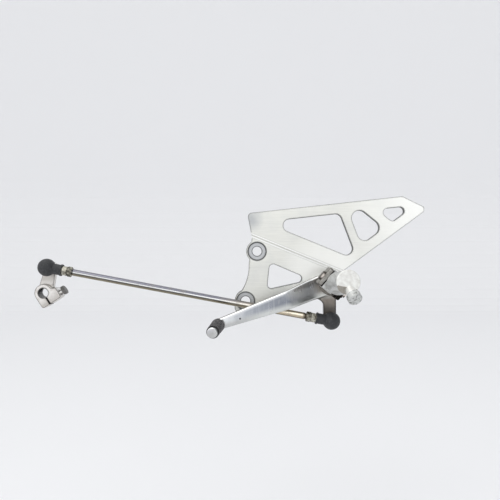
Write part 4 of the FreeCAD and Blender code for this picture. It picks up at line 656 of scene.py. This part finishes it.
# Painted reflections: stripes set by how far each face turns up or down.
turned_up = add_node(tree, "ShaderNodeSeparateXYZ", {0: facing})
reflection_stripes = []
for tone_there, stripes in (COOL_REFLECTIONS, GOLDEN_REFLECTIONS):
    under = linear(tone_there)
    for start, end, tone in stripes:
        below = add_node(tree, "ShaderNodeMapRange", {
            "Value": turned_up.outputs["Z"], "From Min": start, "From Max": end})
        stripe = add_node(tree, "ShaderNodeMix", {
            "Factor": below.outputs[0], "A": under, "B": linear(tone)}, data_type="RGBA")
        under = stripe.outputs["Result"]
    reflection_stripes.append(under)
spread = add_node(tree, "ShaderNodeSeparateXYZ", {0: place})
rearward = add_node(tree, "ShaderNodeMapRange", {
    "Value": spread.outputs["X"], "From Min": GOLD_START, "From Max": GOLD_FULL})
colour = add_node(tree, "ShaderNodeMix", {
    "Factor": rearward.outputs[0], "A": reflection_stripes[0], "B": reflection_stripes[1]}, data_type="RGBA")
tarnish = add_node(tree, "ShaderNodeTexNoise", {"Vector": place, "Scale": 1 / TARNISH_SIZE, "Detail": 5.0})
tarnish_band = add_node(tree, "ShaderNodeMapRange", {
    "Value": tarnish.outputs["Fac"], "From Min": 0.48, "From Max": 0.75, "To Max": 0.5})
colour = add_node(tree, "ShaderNodeMix", {
    "Factor": tarnish_band.outputs[0], "A": colour.outputs["Result"], "B": linear("#8F8A82")},
    data_type="RGBA")
at_nut = add_node(tree, "ShaderNodeMapRange", {
    "Value": spread.outputs["X"], "From Min": REAR_THREAD - THREAD_BLUR, "From Max": REAR_THREAD,
    "To Max": 0.85})
colour = add_node(tree, "ShaderNodeMix", {
    "Factor": at_nut.outputs[0], "A": colour.outputs["Result"], "B": linear("#564E43")}, data_type="RGBA")
finish(tree, shader, Base_Color=colour.outputs["Result"], Metallic=1.0, Roughness=0.26)
dress(rod_steel, "linkage_rod")

# Shift arm: cast steel, slit at the gearshift shaft, with the splines of its bore as separate teeth.
# The casting is pale satin with brown grime; painted shade darkens its lug, its neck under the boot, its
# walls, edges, slit and bore, and painted light brightens the bolt's seat.
BORE_CENTRE = Vector((-239.1 * MM, 0, -18.7 * MM))
BORE_RADIUS = 6 * MM
BORE_BLUR = 0.1 * MM
CLAMP_ENDS = (-13.4 * MM, -26.6 * MM)
SPLINES = 20
SPLINE_HEIGHT = 0.75 * MM
SPLINE_SINK = 0.2 * MM
SLIT_TURN = math.radians(-57)
SLIT_WIDTH = 1.5 * MM
SLIT_BLUR = 0.5 * MM
SLIT_HALF = math.radians(12)
LUG_SHADE_START = 5 * MM
LUG_SHADE_FULL = 15 * MM
ARM_ROOT = -9 * MM
ARM_SHADE = 6 * MM
ARM_EDGE = 2.4 * MM
GRIME_SIZE = 6 * MM
slit_way = Vector((math.cos(SLIT_TURN), 0, math.sin(SLIT_TURN)))
slit_side = Vector((-math.sin(SLIT_TURN), 0, math.cos(SLIT_TURN)))

# Satin cast steel: pale warm grey and grimy in patches, with painted shade under the boot and inside the
# bore.
arm_steel, tree, shader, place, facing = start_material("satin_cast_steel")
grime = add_node(tree, "ShaderNodeTexNoise", {"Vector": place, "Scale": 1 / GRIME_SIZE, "Detail": 5.0})
grime_band = add_node(tree, "ShaderNodeMapRange", {
    "Value": grime.outputs["Fac"], "From Min": 0.45, "From Max": 0.72, "To Max": 0.7})
grimy = add_node(tree, "ShaderNodeMix", {
    "Factor": grime_band.outputs[0], "A": linear("#EBE8E5"), "B": linear("#BDB6B0")}, data_type="RGBA")
from_bore = add_node(tree, "ShaderNodeVectorMath", {0: place, 1: BORE_CENTRE}, operation="SUBTRACT")
slitward = add_node(tree, "ShaderNodeVectorMath", {
    0: from_bore.outputs[0], 1: slit_way}, operation="DOT_PRODUCT")
# Painted shade darkens the face toward the lug.
painted_lug_shade = add_node(tree, "ShaderNodeMapRange", {
    "Value": slitward.outputs["Value"], "From Min": LUG_SHADE_START, "From Max": LUG_SHADE_FULL,
    "To Max": 0.7})
colour = add_node(tree, "ShaderNodeMix", {
    "Factor": painted_lug_shade.outputs[0], "A": grimy.outputs["Result"], "B": linear("#A9A49D")}, data_type="RGBA")
spread = add_node(tree, "ShaderNodeSeparateXYZ", {0: place})
# Painted shade on the neck just under the boot.
under_boot_shade = add_node(tree, "ShaderNodeMapRange", {
    "Value": spread.outputs["Z"], "From Min": ARM_ROOT, "From Max": ARM_ROOT + ARM_SHADE, "To Max": 0.8})
colour = add_node(tree, "ShaderNodeMix", {
    "Factor": under_boot_shade.outputs[0], "A": colour.outputs["Result"], "B": linear("#C3BEB9")}, data_type="RGBA")
# Painted shade on the walls: dark on those facing left, and lighter on those facing right toward the light.
front_share = add_node(tree, "ShaderNodeSeparateXYZ", {0: facing})
front = add_node(tree, "ShaderNodeMath", {0: front_share.outputs["Y"]}, operation="ABSOLUTE")
wall = add_node(tree, "ShaderNodeMapRange", {
    "Value": front.outputs[0], "From Min": 0.9, "From Max": 0.5, "To Max": 0.7})
lit_side = add_node(tree, "ShaderNodeMapRange", {
    "Value": front_share.outputs["X"], "From Min": 0.2, "From Max": 0.5})
wall_light_and_shade = add_node(tree, "ShaderNodeMix", {
    "Factor": lit_side.outputs[0], "A": linear("#8B8680"), "B": linear("#D9D6D2")}, data_type="RGBA")
colour = add_node(tree, "ShaderNodeMix", {
    "Factor": wall.outputs[0], "A": colour.outputs["Result"], "B": wall_light_and_shade.outputs["Result"]},
    data_type="RGBA")
# Painted light: the bolt's seat face is near white.
seat_turn = add_node(tree, "ShaderNodeVectorMath", {0: facing, 1: slit_side}, operation="DOT_PRODUCT")
lit_seat = add_node(tree, "ShaderNodeMapRange", {
    "Value": seat_turn.outputs["Value"], "From Min": 0.9, "From Max": 0.97})
colour = add_node(tree, "ShaderNodeMix", {
    "Factor": lit_seat.outputs[0], "A": colour.outputs["Result"], "B": linear("#F2F1EF")}, data_type="RGBA")
# Painted shade along the edges.
colour = add_node(tree, "ShaderNodeMix", {
    "Factor": near_edge(tree, ARM_EDGE, 0.8), "A": colour.outputs["Result"], "B": linear("#55504B")},
    data_type="RGBA")
# Painted shade: the slit past the bore is black.
across_slit = add_node(tree, "ShaderNodeVectorMath", {
    0: from_bore.outputs[0], 1: slit_side}, operation="DOT_PRODUCT")
slit_gap = add_node(tree, "ShaderNodeMath", {0: across_slit.outputs["Value"]}, operation="ABSOLUTE")
at_slit = add_node(tree, "ShaderNodeMapRange", {
    "Value": slit_gap.outputs[0], "From Min": 0.6 * SLIT_WIDTH, "From Max": 0.55 * SLIT_WIDTH})
past_bore = add_node(tree, "ShaderNodeMapRange", {
    "Value": slitward.outputs["Value"], "From Min": BORE_RADIUS - 2 * SLIT_BLUR,
    "From Max": BORE_RADIUS - SLIT_BLUR})
slit_shade = add_node(tree, "ShaderNodeMath", {
    0: at_slit.outputs[0], 1: past_bore.outputs[0]}, operation="MULTIPLY")
colour = add_node(tree, "ShaderNodeMix", {
    "Factor": slit_shade.outputs[0], "A": colour.outputs["Result"], "B": linear("#050505")}, data_type="RGBA")
# Painted shade: the inside of the bore is near black.
flat = add_node(tree, "ShaderNodeVectorMath", {0: place, 1: (1, 0, 1)}, operation="MULTIPLY")
from_bore = add_node(tree, "ShaderNodeVectorMath", {
    0: flat.outputs[0], 1: BORE_CENTRE}, operation="DISTANCE")
bore_shade = add_node(tree, "ShaderNodeMapRange", {
    "Value": from_bore.outputs["Value"], "From Min": BORE_RADIUS + 3 * BORE_BLUR,
    "From Max": BORE_RADIUS + BORE_BLUR})
colour = add_node(tree, "ShaderNodeMix", {
    "Factor": bore_shade.outputs[0], "A": colour.outputs["Result"], "B": linear("#151515")}, data_type="RGBA")
finish(tree, shader, Base_Color=colour.outputs["Result"], Metallic=0.9, Roughness=0.42)
dress(arm_steel, "shift_arm")

# Oily steel: the bare grey flanks of the splines, dark with oil and darkened further as painted shade inside
# the bore.
oily_shaded_steel, tree, shader, place, facing = start_material("oily_shaded_steel")
oil = add_node(tree, "ShaderNodeTexNoise", {"Vector": place, "Scale": 1 / OIL_SIZE, "Detail": 3.0})
oiled = add_node(tree, "ShaderNodeMix", {
    "Factor": oil.outputs["Fac"], "A": linear("#83827F"), "B": linear("#4B4A48")}, data_type="RGBA")
finish(tree, shader, Base_Color=oiled.outputs["Result"], Metallic=1.0, Roughness=0.3)

teeth = bmesh.new()
for number in range(SPLINES):
    turn = 2 * math.pi * number / SPLINES
    off_slit = math.remainder(turn - SLIT_TURN, 2 * math.pi)
    if abs(off_slit) < SLIT_HALF:
        continue
    tooth = bmesh.ops.create_cone(teeth, cap_ends=True, segments=3, radius1=SPLINE_HEIGHT,
                                  radius2=SPLINE_HEIGHT, depth=CLAMP_ENDS[0] - CLAMP_ENDS[1])
    spot = BORE_CENTRE + Vector((math.cos(turn), 0, math.sin(turn))) * (BORE_RADIUS - SPLINE_SINK)
    spot.y = sum(CLAMP_ENDS) / 2
    upright = Matrix.Rotation(math.radians(90), 4, "X")
    seat = Matrix.Translation(spot) @ Matrix.Rotation(-turn, 4, "Y") @ upright
    bmesh.ops.transform(teeth, matrix=seat, verts=tooth["verts"])
bmesh.ops.recalc_face_normals(teeth, faces=teeth.faces)
teeth_data = bpy.data.meshes.new("shaft_splines")
teeth.to_mesh(teeth_data)
teeth.free()
teeth_data.materials.append(oily_shaded_steel)
splines = bpy.data.objects.new("shaft_splines", teeth_data)
bpy.context.scene.collection.objects.link(splines)
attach(splines, "shift_arm")

# Pinch bolt: it draws the slit together, and is left unscrewed so that its head stands off the lug.
# The head is blackened, and the shank carries a painted highlight along its front and painted shade at its
# sides.
HEAD_SEAT = 18.3 * MM
HEAD_BLUR = 0.1 * MM

# Black-headed bolt steel: black oxide on the head, bare thread below it with a painted highlight on its front
# and painted shade at its sides.
pinch_steel, tree, shader, place, facing = start_material("black_headed_bolt_steel")
from_bore = add_node(tree, "ShaderNodeVectorMath", {0: place, 1: BORE_CENTRE}, operation="SUBTRACT")
past_slit = add_node(tree, "ShaderNodeVectorMath", {
    0: from_bore.outputs[0], 1: slit_side}, operation="DOT_PRODUCT")
on_head = add_node(tree, "ShaderNodeMapRange", {
    "Value": past_slit.outputs["Value"], "From Min": HEAD_SEAT - HEAD_BLUR, "From Max": HEAD_SEAT})
# Painted highlight on the shank's front, and painted shade on its sides.
front_share = add_node(tree, "ShaderNodeSeparateXYZ", {0: facing})
front = add_node(tree, "ShaderNodeMath", {0: front_share.outputs["Y"]}, operation="ABSOLUTE")
shank_side_shade = add_node(tree, "ShaderNodeMapRange", {
    "Value": front.outputs[0], "From Min": 0.97, "From Max": 0.85})
lit_and_shaded_shank = add_node(tree, "ShaderNodeMix", {
    "Factor": shank_side_shade.outputs[0], "A": linear("#F4F3F1"), "B": linear("#7D7974")}, data_type="RGBA")
scuffs = add_node(tree, "ShaderNodeTexNoise", {"Vector": place, "Scale": 1 / SPECK_SIZE, "Detail": 3.0})
head = add_node(tree, "ShaderNodeMix", {
    "Factor": scuffs.outputs["Fac"], "A": linear("#5C5B59"), "B": linear("#807E7B")}, data_type="RGBA")
colour = add_node(tree, "ShaderNodeMix", {
    "Factor": on_head.outputs[0], "A": lit_and_shaded_shank.outputs["Result"], "B": head.outputs["Result"]},
    data_type="RGBA")
finish(tree, shader, Base_Color=colour.outputs["Result"], Metallic=0.9, Roughness=0.38)
dress(pinch_steel, "pinch_bolt")

# Stage: a plain pale floor that sweeps up far behind, and soft studio light all round.
# The floor lies below the rod's lowest reach, so that nothing meets it when the joints move.
# The light is a little darker from the right, so the polished lever has something to mirror.
FLOOR_LEVEL = -310 * MM
FLOOR_HALF = 12.0
WALL_PLACE = 3.0
WALL_HEIGHT = 4.0
SWEEP_RADIUS = 0.8
SWEEP_STEPS = 12
DARK_SIDE = (0.93, -0.30, 0.2)
SKY_STRENGTH = 1.15
floor_mesh = bmesh.new()
bmesh.ops.create_grid(floor_mesh, x_segments=1, y_segments=1, size=FLOOR_HALF)
bmesh.ops.translate(floor_mesh, verts=floor_mesh.verts, vec=(0, WALL_PLACE - FLOOR_HALF, FLOOR_LEVEL))
back_edge = [edge for edge in floor_mesh.edges if all(vert.co.y > 0 for vert in edge.verts)]
wall = bmesh.ops.extrude_edge_only(floor_mesh, edges=back_edge)
wall_tops = [item for item in wall["geom"] if isinstance(item, bmesh.types.BMVert)]
bmesh.ops.translate(floor_mesh, verts=wall_tops, vec=(0, 0, WALL_HEIGHT))
bmesh.ops.bevel(floor_mesh, geom=back_edge, offset=SWEEP_RADIUS, segments=SWEEP_STEPS, profile=0.5,
                affect="EDGES", material=-1)
floor_data = bpy.data.meshes.new("floor")
floor_mesh.to_mesh(floor_data)
floor_mesh.free()
floor = bpy.data.objects.new("floor", floor_data)
bpy.context.scene.collection.objects.link(floor)

# White backdrop paper: matt and even, so that it only throws the light back.
paper, tree, shader, place, facing = start_material("white_backdrop_paper")
finish(tree, shader, Base_Color=linear("#F0F0F2"), Metallic=0.0, Roughness=0.9)
floor_data.materials.append(paper)

world = bpy.data.worlds.new("studio")
world.use_nodes = True
tree = world.node_tree
way = add_node(tree, "ShaderNodeTexCoord").outputs["Generated"]
toward_dark = add_node(tree, "ShaderNodeVectorMath", {0: way, 1: DARK_SIDE}, operation="DOT_PRODUCT")
dark_share = add_node(tree, "ShaderNodeMapRange", {
    "Value": toward_dark.outputs["Value"], "From Min": 0.45, "From Max": 1.0},
    interpolation_type="SMOOTHSTEP")
sky = add_node(tree, "ShaderNodeMix", {
    "Factor": dark_share.outputs[0], "A": linear("#F7F8F8"), "B": linear("#A6A8AB")}, data_type="RGBA")
finish(tree, tree.nodes["Background"], Color=sky.outputs["Result"], Strength=SKY_STRENGTH)
bpy.context.scene.world = world


def softbox(name, place, aim, width, power):
    """Square area light that faces a point."""
    lamp = bpy.data.lights.new(name, "AREA")
    lamp.size = width
    lamp.energy = power
    light = bpy.data.objects.new(name, lamp)
    light.location = place
    light.rotation_euler = (Vector(aim) - Vector(place)).to_track_quat("-Z", "Y").to_euler()
    bpy.context.scene.collection.objects.link(light)


softbox("top_light", place=(-0.5, -0.6, 1.2), aim=(0, 0, 0), width=0.8, power=2.5)
softbox("front_light", place=(0.3, -1.5, 0.75), aim=(0.1, 0, 0.03), width=0.9, power=1.8)

# Camera: square on to the plate, at about the distance that the photograph's perspective suggests.
# Its lens follows from the size of a pixel on the subject and the width of the image.
IMAGE_WIDTH = 500
PIXEL_SIZE = 1.174 * MM
SUBJECT_DISTANCE = 630 * MM
PLATE_FRONT = 13 * MM
VIEW_ACROSS = -1.585 * MM
VIEW_LEVEL = 30.76 * MM
SENSOR_WIDTH = 36
camera_data = bpy.data.cameras.new("camera")
camera_data.sensor_width = SENSOR_WIDTH
camera_data.lens = SENSOR_WIDTH * SUBJECT_DISTANCE / (PIXEL_SIZE * IMAGE_WIDTH)
camera = bpy.data.objects.new("camera", camera_data)
camera.location = (VIEW_ACROSS, -PLATE_FRONT - SUBJECT_DISTANCE, VIEW_LEVEL)
camera.rotation_euler = (math.radians(90), 0, 0)
bpy.context.scene.collection.objects.link(camera)
bpy.context.scene.camera = camera
bpy.context.scene.view_settings.view_transform = "Standard"
